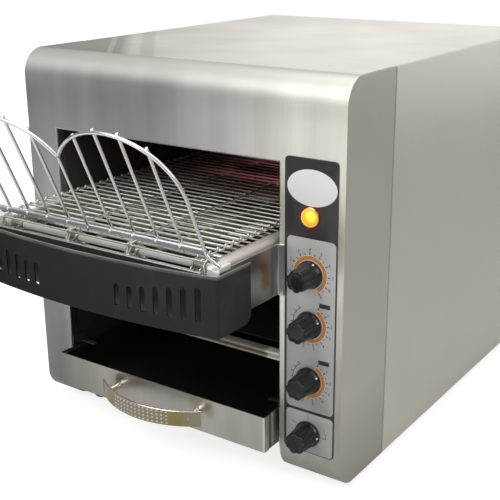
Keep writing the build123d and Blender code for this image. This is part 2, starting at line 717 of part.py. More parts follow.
def sprocket(y, u):
    """Grooved six-toothed wheel whose valleys face the wires and whose tips stay inside them."""
    root = SPROCKET_TIP - TOOTH_H
    flank = ((0.0, root), (0.28, root), (0.40, SPROCKET_TIP), (0.60, SPROCKET_TIP), (0.72, root))
    points = []
    for tooth in range(TEETH):
        for share, radius in flank:
            angle = 2 * math.pi * (tooth + share) / TEETH + math.pi / 2
            points.append((radius * math.cos(angle), radius * math.sin(angle)))
    plane = Plane(origin=(to_right(u) - SPROCKET_W / 2, y, SHAFT_Z), x_dir=(0, 1, 0), z_dir=(1, 0, 0))
    wheel = extrude(plane * make_face(Polyline(*points, close=True)), SPROCKET_W)
    x0, x1 = to_right(u) - GROOVE_HALF, to_right(u) + GROOVE_HALF
    return wheel - (rod_x(2 * PITCH_R, x0, x1, y, SHAFT_Z) - rod_x(GROOVE_R, x0, x1, y, SHAFT_Z))


def shaft(y, x0, x1):
    body = rod_x(JOURNAL_R, x0, x1, y, SHAFT_Z)
    inner = BLOCK_IN - FREE_GAP
    body = body + rod_x(TUBE_R, to_right(-inner), to_right(inner), y, SHAFT_Z)
    for u in SPROCKET_X:
        body = body + sprocket(y, u)
    return body


def idler_shaft():
    return shaft(FRONT_SHAFT_Y, to_right(-JOURNAL_END), to_right(JOURNAL_END))


def drive_shaft():
    return shaft(REAR_SHAFT_Y, to_right(-WALL_IN + FREE_GAP), BOX_X0 + SHAFT_IN_MOTOR)


def gear_motor():
    """Geared motor on the chamber wall, its bore on the end of the drive shaft."""
    half = MOTOR_W / 2
    x1 = BOX_X0 + GEARBOX_L
    box = block(BOX_X0, x1, REAR_SHAFT_Y - half, REAR_SHAFT_Y + half, SHAFT_Z - half, SHAFT_Z + half)
    can = rod_x(MOTOR_R, x1, x1 + MOTOR_L, REAR_SHAFT_Y, SHAFT_Z)
    bore = rod_x(JOURNAL_R + RUN_FIT, BOX_X0 - 1, BOX_X0 + SHAFT_IN_MOTOR + FREE_GAP, REAR_SHAFT_Y, SHAFT_Z)
    return box + can - bore


# ---------------------------------------------------------------- loading rack
def arch(side):
    """One arch of the rack: leg, outer bend and a long curve down to the middle wire."""
    leg = side * RACK_HALF
    turn = side * (RACK_HALF - RACK_TURN_X)
    foot = rack_point(leg, -TAIL)
    shoulder = rack_point(leg, RACK_SHOULDER)
    lower = Line(foot, shoulder)
    bend = TangentArc(shoulder, rack_point(turn, RACK_SHOULDER + RACK_TURN_RISE), tangent=lower % 1)
    crown = TangentArc(bend @ 1, rack_point(0, RACK_VALLEY), tangent=bend % 1)
    section = Plane(foot, z_dir=lower % 0) * Circle(RACK_FRAME_R)
    return sweep(section, path=Wire([lower, bend, crown]))


def arch_arcs():
    """Centre (u, s) and radius of an arch's outer bend and of its long curve."""
    radius1 = (RACK_TURN_X ** 2 + RACK_TURN_RISE ** 2) / (2 * RACK_TURN_X)
    centre1 = (RACK_HALF - radius1, RACK_SHOULDER)
    end = (RACK_HALF - RACK_TURN_X, RACK_SHOULDER + RACK_TURN_RISE)
    way = ((centre1[0] - end[0]) / radius1, (centre1[1] - end[1]) / radius1)
    to_valley = (-end[0], RACK_VALLEY - end[1])
    along = to_valley[0] * way[0] + to_valley[1] * way[1]
    radius2 = (to_valley[0] ** 2 + to_valley[1] ** 2) / (2 * along)
    centre2 = (end[0] + way[0] * radius2, end[1] + way[1] * radius2)
    return (centre1, radius1), (centre2, radius2)


def arch_height(u):
    """Height of the arches' centre line up the slope, at u from the centre plane."""
    outer, long_curve = arch_arcs()
    centre, radius = outer if abs(u) > RACK_HALF - RACK_TURN_X else long_curve
    return centre[1] + math.sqrt(radius ** 2 - (abs(u) - centre[0]) ** 2)


def wire_places():
    step = RACK_HALF / (RACK_WIRES + 1)
    return [step * index for index in range(-RACK_WIRES, RACK_WIRES + 1) if index]


def loading_rack():
    """Welded rack: two arches, upright wires behind them and a flat bar along the foot."""
    rack = arch(-1) + arch(1)
    rack = rack + rack_rod(RACK_WIRE_R, 0, 0, RACK_VALLEY + RACK_POKE, 0)
    lift = RACK_FRAME_R + RACK_WIRE_R - WELD
    for u in wire_places():
        rack = rack + rack_rod(RACK_WIRE_R, u, -RACK_BAR_H / 2, arch_height(u) + RACK_POKE, lift)
    half = RACK_HALF - RACK_FRAME_R + WELD
    frame = Plane(rack_point(0, 0), x_dir=(1, 0, 0), z_dir=(0, math.cos(LEAN), math.sin(LEAN)))
    bar = Pos(0, 0, lift - RACK_WIRE_R - RACK_BAR_T / 2 + WELD) * Box(2 * half, RACK_BAR_H, RACK_BAR_T)
    return rack + frame * bar


# ---------------------------------------------------------------- drawer
def drawer_pan():
    y0 = DRAWER_T - DRAWER_OUT
    y1 = y0 + DRAWER_L
    pan = block(to_right(-PAN_HALF), to_right(PAN_HALF), y0, y1, PAN_Z0, PAN_Z1)
    t = DRAWER_T
    half = PAN_HALF - t
    return pan - block(to_right(-half), to_right(half), y0 + t, y1 - t, PAN_Z0 + t, PAN_Z1 + 1)


def drawer_front():
    y0 = -DRAWER_OUT
    return block(to_right(-DRAWER_HALF), to_right(DRAWER_HALF), y0, y0 + DRAWER_T, DRAWER_Z0, DRAWER_Z1)


def drawer_handle():
    """Bowed strap on two posts."""
    face = -DRAWER_OUT
    nose = face - HANDLE_REACH
    end = nose + HANDLE_BOW
    t = HANDLE_T
    half = HANDLE_HALF
    middle = to_right(HANDLE_MID)
    outer = ThreePointArc((middle - half, end), (middle, nose), (middle + half, end))
    half = HANDLE_HALF - t / 2
    inner = ThreePointArc((middle + half, end + t), (middle, nose + t), (middle - half, end + t))
    outline = Wire([outer, Line(outer @ 1, inner @ 0), inner, Line(inner @ 1, outer @ 0)])
    handle = plan_profile(make_face(outline), HANDLE_Z - HANDLE_H / 2, HANDLE_Z + HANDLE_H / 2)
    radius = (HANDLE_HALF ** 2 + HANDLE_BOW ** 2) / (2 * HANDLE_BOW)
    reach = nose + radius - math.sqrt(radius ** 2 - POST_X ** 2)
    for side in (-1, 1):
        handle = handle + rod_y(POST_R, reach + t / 2, face, middle + side * POST_X, HANDLE_Z)
    return handle


def drawer_tab():
    """Angle on the opening's flange that holds the pulled-out drawer level."""
    z0 = DRAWER_Z1 + TAB_CLEAR
    edge = to_right(OPEN_W / 2)
    tab = block(edge - TAB_REACH, edge, TAB_BACK - TAB_WIDTH, TAB_BACK, z0, z0 + SHEET)
    return tab + block(edge - SHEET, edge, SHEET, TAB_BACK, z0, z0 + TAB_FOOT_H)


def drawer_runner():
    """Shelf under the drawer's edge with an upstand that guides its side."""
    top = PAN_Z0 - FREE_GAP
    y1 = WALL_REAR - RUNNER_T
    guide = to_right(PAN_HALF + RUNNER_FIT)
    shelf = block(to_right(PAN_HALF - RUNNER_W), to_right(WALL_IN), WALL_NOTCH, y1, top - RUNNER_T, top)
    return shelf + block(guide, guide + RUNNER_T, WALL_NOTCH, y1, top, top + RUNNER_H)


# ---------------------------------------------------------------- controls
def control_panel():
    flat = Pos(PANEL_X, (PANEL_Z0 + PANEL_Z1) / 2) * RectangleRounded(PANEL_W, PANEL_Z1 - PANEL_Z0, PANEL_R)
    plane = Plane(origin=(0, 0, 0), x_dir=(1, 0, 0), z_dir=(0, -1, 0))
    plate = extrude(plane * flat, PANEL_T)
    for height in DIAL_Z:
        plate = plate - rod_y(STEM_R + FREE_GAP, -PANEL_T - 1, 1, PANEL_X, height)
    return plate - rod_y(LENS_R, -PANEL_T - 1, 1, PANEL_X, LAMP_Z)


def knob(height, angle):
    """Fluted control knob on its stem, its pointer turned right of upright."""
    base = -PANEL_T - KNOB_LIFT
    skirt = rod_y(KNOB_SKIRT_R, base - KNOB_SKIRT_T, base, 0, 0)
    skirt = fillet(skirt.edges().sort_by(Axis.Y)[0], 1.5)
    tip = -KNOB_L
    grip_l = base - KNOB_SKIRT_T - tip
    grip = Pos(0, tip + grip_l / 2, 0) * Rot(90, 0, 0) * Cone(KNOB_GRIP_R, KNOB_GRIP_TIP_R, grip_l)
    for index in range(KNOB_FLUTES):
        turn = math.radians(90 + 360 / KNOB_FLUTES * (index + 0.5))
        radius = KNOB_GRIP_R + FLUTE_R * 0.45
        x, z = radius * math.cos(turn), radius * math.sin(turn)
        grip = grip - rod_y(FLUTE_R, tip - 1, base - KNOB_SKIRT_T, x, z)
    stem = rod_y(STEM_R, base, SHEET + STEM_DEPTH, 0, 0)
    return Pos(PANEL_X, 0, height) * Rot(0, angle, 0) * (skirt + grip + stem)


def control_body(height, depth):
    """Switch or thermostat behind a knob, with a terminal blade at its back."""
    half = CONTROL_W / 2
    back = SHEET + depth
    body = block(PANEL_X - half, PANEL_X + half, SHEET, back, height - half, height + half)
    body = body - rod_y(STEM_R + RUN_FIT, SHEET - 1, SHEET + STEM_DEPTH + FREE_GAP, PANEL_X, height)
    half = BLADE_W / 2
    blade = block(PANEL_X - half, PANEL_X + half, back, back + half, height - 1, height + 1)
    return body + blade


def lamp_bezel():
    ring = rod_y(LAMP_R, -PANEL_T - LAMP_PROUD, -PANEL_T, PANEL_X, LAMP_Z)
    ring = fillet(ring.edges().sort_by(Axis.Y)[0], LAMP_PROUD / 3)
    return ring - rod_y(LENS_R, -PANEL_T - LAMP_PROUD - 1, 1, PANEL_X, LAMP_Z)


def lamp_lens():
    """Round lens through the face, its body held by a flange behind the sheet."""
    front = -PANEL_T - LAMP_PROUD - LENS_DOME
    lens = rod_y(LENS_R - LENS_FIT, front, SHEET, PANEL_X, LAMP_Z)
    lens = fillet(lens.edges().sort_by(Axis.Y)[0], LENS_DOME)
    return lens + rod_y(LAMP_R, SHEET, SHEET + LENS_BODY, PANEL_X, LAMP_Z)


# ---------------------------------------------------------------- cooling fan and wiring
def fan_housing():
    """Square fan frame on the rear panel, with a four-armed spider that carries the hub's pin."""
    y1 = BODY_D - SHEET
    y0 = y1 - FAN_D
    half = FAN_W / 2
    body = block(BOX_MID - half, BOX_MID + half, y0, y1, FAN_Z - half, FAN_Z + half)
    body = body - rod_y(FAN_BORE, y0 - 1, y1 + 1, BOX_MID, FAN_Z)
    inner = y1 - SPIDER_T
    reach = FAN_BORE + 1
    half = SPIDER_W / 2
    arms = block(BOX_MID - reach, BOX_MID + reach, inner, y1, FAN_Z - half, FAN_Z + half)
    arms = arms + block(BOX_MID - half, BOX_MID + half, inner, y1, FAN_Z - reach, FAN_Z + reach)
    seat = rod_y(FAN_HUB_R - 2, inner, y1, BOX_MID, FAN_Z)
    return body + arms + seat + rod_y(PIN_R, inner - PIN_L, inner, BOX_MID, FAN_Z)


def fan_rotor():
    y1 = BODY_D - SHEET - SPIDER_T - FREE_GAP
    y0 = y1 - FAN_D + SPIDER_T + FAN_GAP
    hub = rod_y(FAN_HUB_R, y0, y1, BOX_MID, FAN_Z)
    hub = hub - rod_y(PIN_R + RUN_FIT, y1 - PIN_L, y1 + 1, BOX_MID, FAN_Z)
    blade = Box(FAN_BORE - FAN_GAP - FAN_HUB_R + 1, BLADE_T, FAN_D - SPIDER_T - FAN_GAP)
    reach = (FAN_BORE - FAN_GAP + FAN_HUB_R - 1) / 2
    for index in range(FAN_BLADES):
        turned = Rot(0, 360 / FAN_BLADES * index, 0) * Pos(reach, 0, 0) * Rot(BLADE_TILT, 0, 0) * blade
        hub = hub + Pos(BOX_MID, (y0 + y1) / 2, FAN_Z) * turned
    return hub


def terminal_block():
    """Three-pole terminal block on the base pan."""
    half = TERMINAL_W / 2
    y1 = TERMINAL_Y + TERMINAL_D
    body = block(BOX_MID - half, BOX_MID + half, TERMINAL_Y, y1, SHEET, SHEET + TERMINAL_H)
    for step in range(POLE_COUNT):
        x = BOX_MID + (step - (POLE_COUNT - 1) / 2) * POLE_STEP
        x0, x1 = x - POLE_W / 2, x + POLE_W / 2
        groove = block(x0, x1, TERMINAL_Y - 1, y1 + 1, SHEET + TERMINAL_H / 2, SHEET + TERMINAL_H + 1)
        body = body - groove
    return body


# ---------------------------------------------------------------- assembly
def front_reach():
    """The crown of the rack's arches, which stands furthest ahead of the housing's face."""
    centre, radius = arch_arcs()[1]
    return rack_point(0, centre[1] + radius).Y - RACK_FRAME_R


def sub_parts():
    nodes = {
        "front_shell": front_shell(),
        "seam_frame": seam_frame(),
        "side_panel_left": side_panel(-1),
        "side_panel_right": side_panel(1),
        "top_panel": top_panel(),
        "base_pan": base_pan(),
        "rear_panel": rear_panel(),
        "feet": feet(),
        "rear_screws": rear_screws(),
        "cord_gland": cord_gland(),
        "upper_elements": elements(UPPER_ELEMENT_Z),
        "lower_elements": elements(LOWER_ELEMENT_Z),
        "upper_element_caps": element_caps(UPPER_ELEMENT_Z),
        "lower_element_caps": element_caps(LOWER_ELEMENT_Z),
        "upper_reflector": reflector(UPPER_ELEMENT_Z + REFLECTOR_RISE, 1),
        "lower_reflector": reflector(LOWER_ELEMENT_Z - REFLECTOR_RISE, -1),
        "toast_chute": toast_chute(),
        "cross_rail": cross_rail(),
        "front_lip": front_lip(),
        "cross_rods": cross_rods(),
        "wear_strips": wear_strips(),
        "fascia": fascia(),
        "fascia_tabs": fascia_tabs(),
        "drawer_tabs": list(both_sides(drawer_tab)),
        "belt": belt(),
        "idler_shaft": idler_shaft(),
        "drive_shaft": drive_shaft(),
        "gear_motor": gear_motor(),
        "loading_rack": loading_rack(),
        "drawer_pan": drawer_pan(),
        "drawer_front": drawer_front(),
        "drawer_handle": drawer_handle(),
        "control_panel": control_panel(),
        "lamp_bezel": lamp_bezel(),
        "lamp_lens": lamp_lens(),
        "fan_housing": fan_housing(),
        "fan_rotor": fan_rotor(),
        "terminal_block": terminal_block(),
    }
    for name, make in {
        "chamber_wall": chamber_wall,
        "feed_plate": feed_plate,
        "conveyor_rail": rail,
        "corner_block": corner_block,
        "rear_block": rear_block,
        "drawer_runner": drawer_runner,
    }.items():
        nodes[name + "_right"], nodes[name + "_left"] = both_sides(make)
    names = ("speed", "top_heat", "bottom_heat", "mode")
    for name, height, angle in zip(names, DIAL_Z, DIAL_REST):
        nodes[name + "_knob"] = knob(height, angle)
        nodes[name + "_control"] = control_body(height, MODE_D if name == "mode" else CONTROL_D)
    return nodes


def write(nodes):
    shift = -(front_reach() + BODY_D + GLAND_OUT) / 2
    settle = Pos(0, shift, FOOT_H)
    os.makedirs("parts", exist_ok=True)
    for name, shape in nodes.items():
        solids = shape if isinstance(shape, list) else [shape]
        placed = [settle * solid for solid in solids]
        whole = placed[0] if len(placed) == 1 else Compound(children=placed)
        export_step(whole, os.path.join("parts", name + ".step"))


write(sub_parts())
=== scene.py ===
"""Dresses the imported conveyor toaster: detailed pieces, procedural finishes, a pale stage and a
camera."""

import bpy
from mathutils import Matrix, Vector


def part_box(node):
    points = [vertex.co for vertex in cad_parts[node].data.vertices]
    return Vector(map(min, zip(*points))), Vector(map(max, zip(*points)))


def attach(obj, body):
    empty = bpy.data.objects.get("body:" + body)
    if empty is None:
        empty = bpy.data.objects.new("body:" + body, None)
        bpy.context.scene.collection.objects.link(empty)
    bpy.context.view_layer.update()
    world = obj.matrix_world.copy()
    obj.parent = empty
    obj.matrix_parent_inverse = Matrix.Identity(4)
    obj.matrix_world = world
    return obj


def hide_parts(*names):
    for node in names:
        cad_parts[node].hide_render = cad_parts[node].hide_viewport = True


bl_info = {
    "name": "Conveyor toaster",
    "version": (1, 0, 0),
    "blender": (4, 5, 0),
    "location": "3D View > Sidebar > Toaster",
    "description": "Dresses the packed conveyor toaster with pieces, finishes and a stage",
    "category": "Object",
}

import math

import bmesh
import bpy
import numpy as np
from bpy.props import FloatProperty, FloatVectorProperty, IntProperty, PointerProperty
from mathutils import Matrix, Vector

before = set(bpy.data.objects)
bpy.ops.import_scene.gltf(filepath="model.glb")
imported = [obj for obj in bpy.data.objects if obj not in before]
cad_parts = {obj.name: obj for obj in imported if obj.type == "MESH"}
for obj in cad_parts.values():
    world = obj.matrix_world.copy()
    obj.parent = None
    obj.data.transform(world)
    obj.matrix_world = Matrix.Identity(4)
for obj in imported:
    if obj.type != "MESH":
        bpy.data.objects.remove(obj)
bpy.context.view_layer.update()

# All sizes below are millimetres: x across, y back from the housing's face, z up from its underside.
MM = 0.001
FACE_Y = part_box("control_panel")[1].y
BASE_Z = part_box("base_pan")[0].z
MID = (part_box("belt")[0].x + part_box("belt")[1].x) / 2 / MM
BODY_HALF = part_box("top_panel")[1].x / MM
BODY_H = (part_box("top_panel")[1].z - BASE_Z) / MM
BODY_D = (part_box("top_panel")[1].y - FACE_Y) / MM
SEAM_Y = (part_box("front_shell")[1].y - FACE_Y) / MM
SEAM_GAP = 0.4
SHEET = 1.2
BEND_R = 25.0
OPEN_X0 = -145.0
OPEN_X1 = 119.0
OPEN_Z0 = 26.0
OPEN_Z1 = 298.0
FLANGE_D = 10.0
SHAFT_Z = 225.0
FRONT_SHAFT_Y = -80.0
UNIT_FRONT = -94.3
GUARD_HALF = 144.0
GUARD_NOSE = -118.5
GUARD_BOW = 13.1
SLOT_PITCH = 13.1
REAR_SHAFT_Y = 327.0
PITCH = 11.0
RUN_STEPS = 37
TEETH = 6
HOOK_X = 35.67
PANEL_X = 151.5
DIALS = (
    ("speed", 204.0, 26.0),
    ("top_heat", 157.2, 64.0),
    ("bottom_heat", 103.8, 60.0),
    ("mode", 50.5, 91.0),
)
LAMP_Z = 254.0
LEAN = math.radians(24.2)
RACK_FOOT = (-96.0, 243.0)
RACK_HALF = 125.65
HANDLE_MID = 1.8
HOOK_MID = 1.6
BELT_PHASE = math.radians(-9.0)
PRINT_MID = 0.95


# ---------------------------------------------------------------- surfaces
def row(points):
    """Millimetres of the face to metres of the shared frame."""
    return np.asarray(points, float) * MM + (0.0, FACE_Y, BASE_Z)


def unit(vectors):
    """Vectors divided by their own lengths."""
    return vectors / np.linalg.norm(vectors, axis=-1, keepdims=True)


class Surface:
    """Grids of points gathered into one mesh. A grid's outer side is its row step crossed with its
    column step."""

    def __init__(self):
        self.points, self.faces, self.slots, self.count = [], [], [], 0

    def grid(self, points, around=False, keep=None, slot=0):
        """Quads between neighbouring points; `around` joins the last column to the first, `keep` drops
        cells."""
        rows, cols = points.shape[:2]
        at = np.arange(rows * cols).reshape(rows, cols)
        if around:
            at = np.hstack((at, at[:, :1]))
        quads = np.stack((at[:-1, :-1], at[1:, :-1], at[1:, 1:], at[:-1, 1:]), -1)
        quads = quads.reshape(-1, 4) if keep is None else quads[keep]
        self.points.append(points.reshape(-1, 3))
        self.faces.append(quads + self.count)
        self.slots.append(np.full(len(quads), slot))
        self.count += rows * cols
        return self

    def mirrored(self):
        """Adds what is there once more, mirrored about the conveyor's centre plane and turned right
        side out."""
        points = np.concatenate(self.points)
        faces = np.concatenate(self.faces)
        self.points.append(points * (-1, 1, 1) + (2 * MID, 0, 0))
        self.faces.append(faces[:, ::-1] + self.count)
        self.slots.append(np.concatenate(self.slots))
        self.count += len(points)
        return self


def piece(
    surface, name, body, finishes, outwards=True, thickness=0.0, bevel=0.0, weld=0.002,
    crease=34.0,
):
    """Turns a surface into an object that rides on a body; closed shapes get their faces turned
    outwards."""
    mesh = bpy.data.meshes.new(name)
    mesh.from_pydata(
        row(np.concatenate(surface.points)).tolist(), [], np.concatenate(surface.faces).tolist()
    )
    mesh.polygons.foreach_set("material_index", np.concatenate(surface.slots).astype(np.int32))
    shape = bmesh.new()
    shape.from_mesh(mesh)
    bmesh.ops.remove_doubles(shape, verts=shape.verts, dist=weld * MM)
    bmesh.ops.dissolve_degenerate(shape, edges=shape.edges, dist=weld * MM / 4)
    if outwards:
        bmesh.ops.recalc_face_normals(shape, faces=shape.faces)
    shape.to_mesh(mesh)
    shape.free()
    for finish in finishes if isinstance(finishes, tuple) else (finishes,):
        mesh.materials.append(finish)
    mesh.polygons.foreach_set("use_smooth", np.ones(len(mesh.polygons), bool))
    mesh.set_sharp_from_angle(angle=math.radians(crease))
    made = bpy.data.objects.new(name, mesh)
    bpy.context.scene.collection.objects.link(made)
    if thickness:
        wall = made.modifiers.new("wall", "SOLIDIFY")
        wall.thickness = thickness * MM
        wall.offset = -1.0
        wall.use_even_offset = True
    if bevel:
        soften_edges(made, bevel)
    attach(made, body)
    return made


def soften_edges(made, width, segments=2):
    """A small round along every sharp edge, so that it catches light as real edges do."""
    edge = made.modifiers.new("edge", "BEVEL")
    edge.width = width * MM
    edge.segments = segments
    edge.limit_method = "ANGLE"
    edge.angle_limit = math.radians(40)
    edge.harden_normals = True


def rounded(points, radius, steps=5):
    """A polyline with each inner corner replaced by a curve: (1-t)^2 A + 2 t (1-t) B + t^2 C, with A
    and C at the given distance from corner B."""
    points = np.asarray(points, float)
    before, corner, after = points[:-2], points[1:-1], points[2:]
    back, ahead = before - corner, after - corner
    reach_a = np.minimum(radius, 0.49 * np.linalg.norm(back, axis=1))[:, None]
    reach_c = np.minimum(radius, 0.49 * np.linalg.norm(ahead, axis=1))[:, None]
    a = corner + unit(back) * reach_a
    c = corner + unit(ahead) * reach_c
    t = np.linspace(0, 1, steps)[None, :, None]
    curve = (1 - t) ** 2 * a[:, None] + 2 * t * (1 - t) * corner[:, None] + t ** 2 * c[:, None]
    return np.concatenate((points[:1], curve.reshape(-1, points.shape[1]), points[-1:]))


def tube(path, radius, normal, sides=12):
    """A round rod: ring point = path + r (cos t S + sin t U), S = tangent x normal, U = S x tangent;
    the ends close over a small chamfer."""
    path = np.asarray(path, float)
    tangent = unit(np.gradient(path, axis=-2))
    first, last = path[..., :1, :], path[..., -1:, :]
    lead, trail = tangent[..., :1, :] * radius * 0.3, tangent[..., -1:, :] * radius * 0.3
    path = np.concatenate(
        (first, first, first + lead, path[..., 1:-1, :], last - trail, last, last), -2
    )
    tangent = np.concatenate(
        (*[tangent[..., :1, :]] * 3, tangent[..., 1:-1, :], *[tangent[..., -1:, :]] * 3), -2
    )
    size = np.full(path.shape[-2], float(radius))
    size[[0, -1]] = 0.0
    size[[1, -2]] = radius * 0.72
    side = unit(np.cross(tangent, normal))
    up = np.cross(side, tangent)
    turn = np.linspace(0, 2 * math.pi, sides, endpoint=False)[:, None]
    ring = np.cos(turn) * side[..., None, :] + np.sin(turn) * up[..., None, :]
    return path[..., None, :] + size[:, None, None] * ring


def lathe(profile, centre, axis, sides=48, radius_of=None):
    """A turned shape: profile gives (radius, distance along the axis); radius_of may change the radius
    with the angle. Angle 0 points up for the x and y axes and along +x for the z axis."""
    profile = np.asarray(profile, float)
    turn = np.linspace(0, 2 * math.pi, sides, endpoint=False)[None, :]
    radius, along = profile[:, :1], profile[:, 1:] + 0 * turn
    if radius_of is not None:
        radius = radius_of(radius, profile[:, 1:], turn)
    up, across = radius * np.cos(turn), radius * np.sin(turn)
    if axis == "x":
        points = np.stack((along, -across, up), -1)
    elif axis == "y":
        points = np.stack((across, along, up), -1)
    else:
        points = np.stack((up, across, along), -1)
    return points + np.asarray(centre, float)


def round_rectangle(width, height, radius, steps=6):
    """Outline of a rectangle with quarter-round corners, anticlockwise from the right side's foot."""
    t = np.linspace(0, math.pi / 2, steps)
    corner = np.stack((np.cos(t), np.sin(t)), -1) * radius
    w, h = width / 2 - radius, height / 2 - radius
    turned = [corner, corner[:, ::-1] * (-1, 1), -corner, corner[:, ::-1] * (1, -1)]
    turned[1] = np.stack((-corner[:, 1], corner[:, 0]), -1)
    turned[3] = np.stack((corner[:, 1], -corner[:, 0]), -1)
    shift = ((w, h), (-w, h), (-w, -h), (w, -h))
    return np.concatenate([c + s for c, s in zip(turned, shift)])


def slab(outline, low, high, round_edge, place):
    """A plate between two levels: outline(inset) is carried up the edge, its inset following a quarter
    round at both rims, and each end closes to its middle. place(points, level) puts it in space."""
    t = np.linspace(0, math.pi / 2, 4)
    inset = round_edge * (1 - np.sin(t))
    rise = round_edge * (1 - np.cos(t))
    insets = np.concatenate((inset, inset[::-1]))
    levels = np.concatenate((low + rise, (high - rise)[::-1]))
    rings = [place(outline(i), level) for i, level in zip(insets, levels)]
    ends = [np.repeat(ring.mean(0)[None], len(ring), 0) for ring in (rings[0], rings[-1])]
    return np.stack((ends[0], *rings, ends[1]))


def level_plan(points, level):
    """An (x, y) outline at height z = level."""
    return np.stack((points[:, 0], points[:, 1], np.full(len(points), level)), -1)


def flat_front(points, level):
    """An (x, z) outline at depth y = level."""
    return np.stack((points[:, 0], np.full(len(points), level), points[:, 1]), -1)


def sheet_along(path, levels, stack):
    """A bent sheet: a plane path carried over several levels along the third direction."""
    path = np.asarray(path, float)
    levels = np.asarray(levels, float)
    a = np.repeat(path[:, None, 0], len(levels), 1)
    b = np.repeat(path[:, None, 1], len(levels), 1)
    c = np.repeat(levels[None, :], len(path), 0)
    order = {"xy": (a, b, c), "xz": (a, c, b), "yz": (c, a, b)}[stack]
    return np.stack(order, -1)


def spread(*stops):
    """Values that run through the stops, given as (value, number of steps to the next)."""
    runs = [np.linspace(a[0], b[0], a[1], endpoint=False) for a, b in zip(stops[:-1], stops[1:])]
    return np.concatenate((*runs, [stops[-1][0]]))


# ---------------------------------------------------------------- shader tools
def add(tree, kind, inputs=None, **settings):
    """A shader node with its settings, its inputs linked to sockets or set to values."""
    made = tree.nodes.new("ShaderNode" + kind)
    for key, value in settings.items():
        setattr(made, key, value)
    for key, value in (inputs or {}).items():
        socket = made.inputs[key]
        if isinstance(value, bpy.types.NodeSocket):
            tree.links.new(value, socket)
        else:
            socket.default_value = value
    return made


def maths(tree, operation, *values):
    made = add(tree, "Math", dict(enumerate(values)), operation=operation)
    return made.outputs[0]


def shaped(tree, value, low, high, to_low=0.0, to_high=1.0):
    """The value carried from one range to another and held at the ends."""
    made = add(tree, "MapRange", {0: value, 1: low, 2: high, 3: to_low, 4: to_high})
    made.clamp = True
    return made.outputs[0]


def mixed(tree, factor, one, two):
    """Colour one blended to colour two."""
    made = add(tree, "Mix", data_type="RGBA")
    for index, value in ((0, factor), (6, one), (7, two)):
        socket = made.inputs[index]
        if isinstance(value, bpy.types.NodeSocket):
            tree.links.new(value, socket)
        else:
            socket.default_value = value
    return made.outputs[2]


def group(name, inputs, outputs):
    """A shader node group with named sockets; returns its tree, its input node and its output node."""
    tree = bpy.data.node_groups.new(name, "ShaderNodeTree")
    for label, kind, value in inputs:
        socket = tree.interface.new_socket(name=label, in_out="INPUT", socket_type="NodeSocket" + kind)
        if value is not None:
            socket.default_value = value
    for label, kind in outputs:
        tree.interface.new_socket(name=label, in_out="OUTPUT", socket_type="NodeSocket" + kind)
    return tree, tree.nodes.new("NodeGroupInput"), tree.nodes.new("NodeGroupOutput")


def grain_group():
    """Drawn or brushed grain: long noise in the direction that Stretch keeps low, and slow clouds over
    it."""
    name = "metal_grain"
    if name in bpy.data.node_groups:
        return bpy.data.node_groups[name]
    tree, given, out = group(
        name,
        (
            ("Vector", "Vector", None),
            ("Stretch", "Vector", (1500.0, 1500.0, 12.0)),
            ("Base", "Color", (0.5, 0.5, 0.5, 1.0)),
            ("Contrast", "Float", 0.2),
            ("Clouds", "Float", 0.12),
            ("Roughness", "Float", 0.3),
            ("Spread", "Float", 0.1),
            ("Depth", "Float", 0.00002),
        ),
        (("Color", "Color"), ("Roughness", "Float"), ("Normal", "Vector")),
    )
    stretched = add(
        tree, "VectorMath", {0: given.outputs["Vector"], 1: given.outputs["Stretch"]},
        operation="MULTIPLY",
    )
    fine = add(
        tree, "TexNoise",
        {"Vector": stretched.outputs[0], "Scale": 1.0, "Detail": 4.0, "Roughness": 0.6},
    )
    slow = add(tree, "TexNoise", {"Vector": given.outputs["Vector"], "Scale": 11.0, "Detail": 3.0})
    line = maths(tree, "SUBTRACT", fine.outputs[0], 0.5)
    cloud = maths(tree, "SUBTRACT", slow.outputs[0], 0.5)
    shade = maths(tree, "MULTIPLY_ADD", line, given.outputs["Contrast"], 1.0)
    shade = maths(tree, "MULTIPLY_ADD", cloud, given.outputs["Clouds"], shade)
    colour = add(tree, "VectorMath", {0: given.outputs["Base"], "Scale": shade}, operation="SCALE")
    rough = maths(tree, "MULTIPLY_ADD", line, given.outputs["Spread"], given.outputs["Roughness"])
    rough = maths(tree, "MULTIPLY_ADD", cloud, given.outputs["Spread"], rough)
    bump = add(
        tree, "Bump", {"Height": fine.outputs[0], "Distance": given.outputs["Depth"], "Strength": 1.0}
    )
    tree.links.new(colour.outputs[0], out.inputs["Color"])
    tree.links.new(rough, out.inputs["Roughness"])
    tree.links.new(bump.outputs[0], out.inputs["Normal"])
    return tree


def tint_group():
    """Heat tint and handling marks: patches where the colour runs towards a tint and the gloss
    drops."""
    name = "heat_tint"
    if name in bpy.data.node_groups:
        return bpy.data.node_groups[name]
    tree, given, out = group(
        name,
        (
            ("Vector", "Vector", None),
            ("Color", "Color", (0.5, 0.5, 0.5, 1.0)),
            ("Tint", "Color", (0.3, 0.2, 0.1, 1.0)),
            ("Amount", "Float", 0.5),
            ("Size", "Float", 20.0),
            ("Roughness", "Float", 0.3),
            ("Dulling", "Float", 0.2),
        ),
        (("Color", "Color"), ("Roughness", "Float"), ("Mask", "Float")),
    )
    patch = add(
        tree, "TexNoise",
        {"Vector": given.outputs["Vector"], "Scale": given.outputs["Size"], "Detail": 5.0},
    )
    mask = shaped(tree, patch.outputs[0], 0.42, 0.68)
    mask = maths(tree, "MULTIPLY", mask, given.outputs["Amount"])
    rough = maths(tree, "MULTIPLY_ADD", mask, given.outputs["Dulling"], given.outputs["Roughness"])
    tree.links.new(
        mixed(tree, mask, given.outputs["Color"], given.outputs["Tint"]), out.inputs["Color"]
    )
    tree.links.new(rough, out.inputs["Roughness"])
    tree.links.new(mask, out.inputs["Mask"])
    return tree


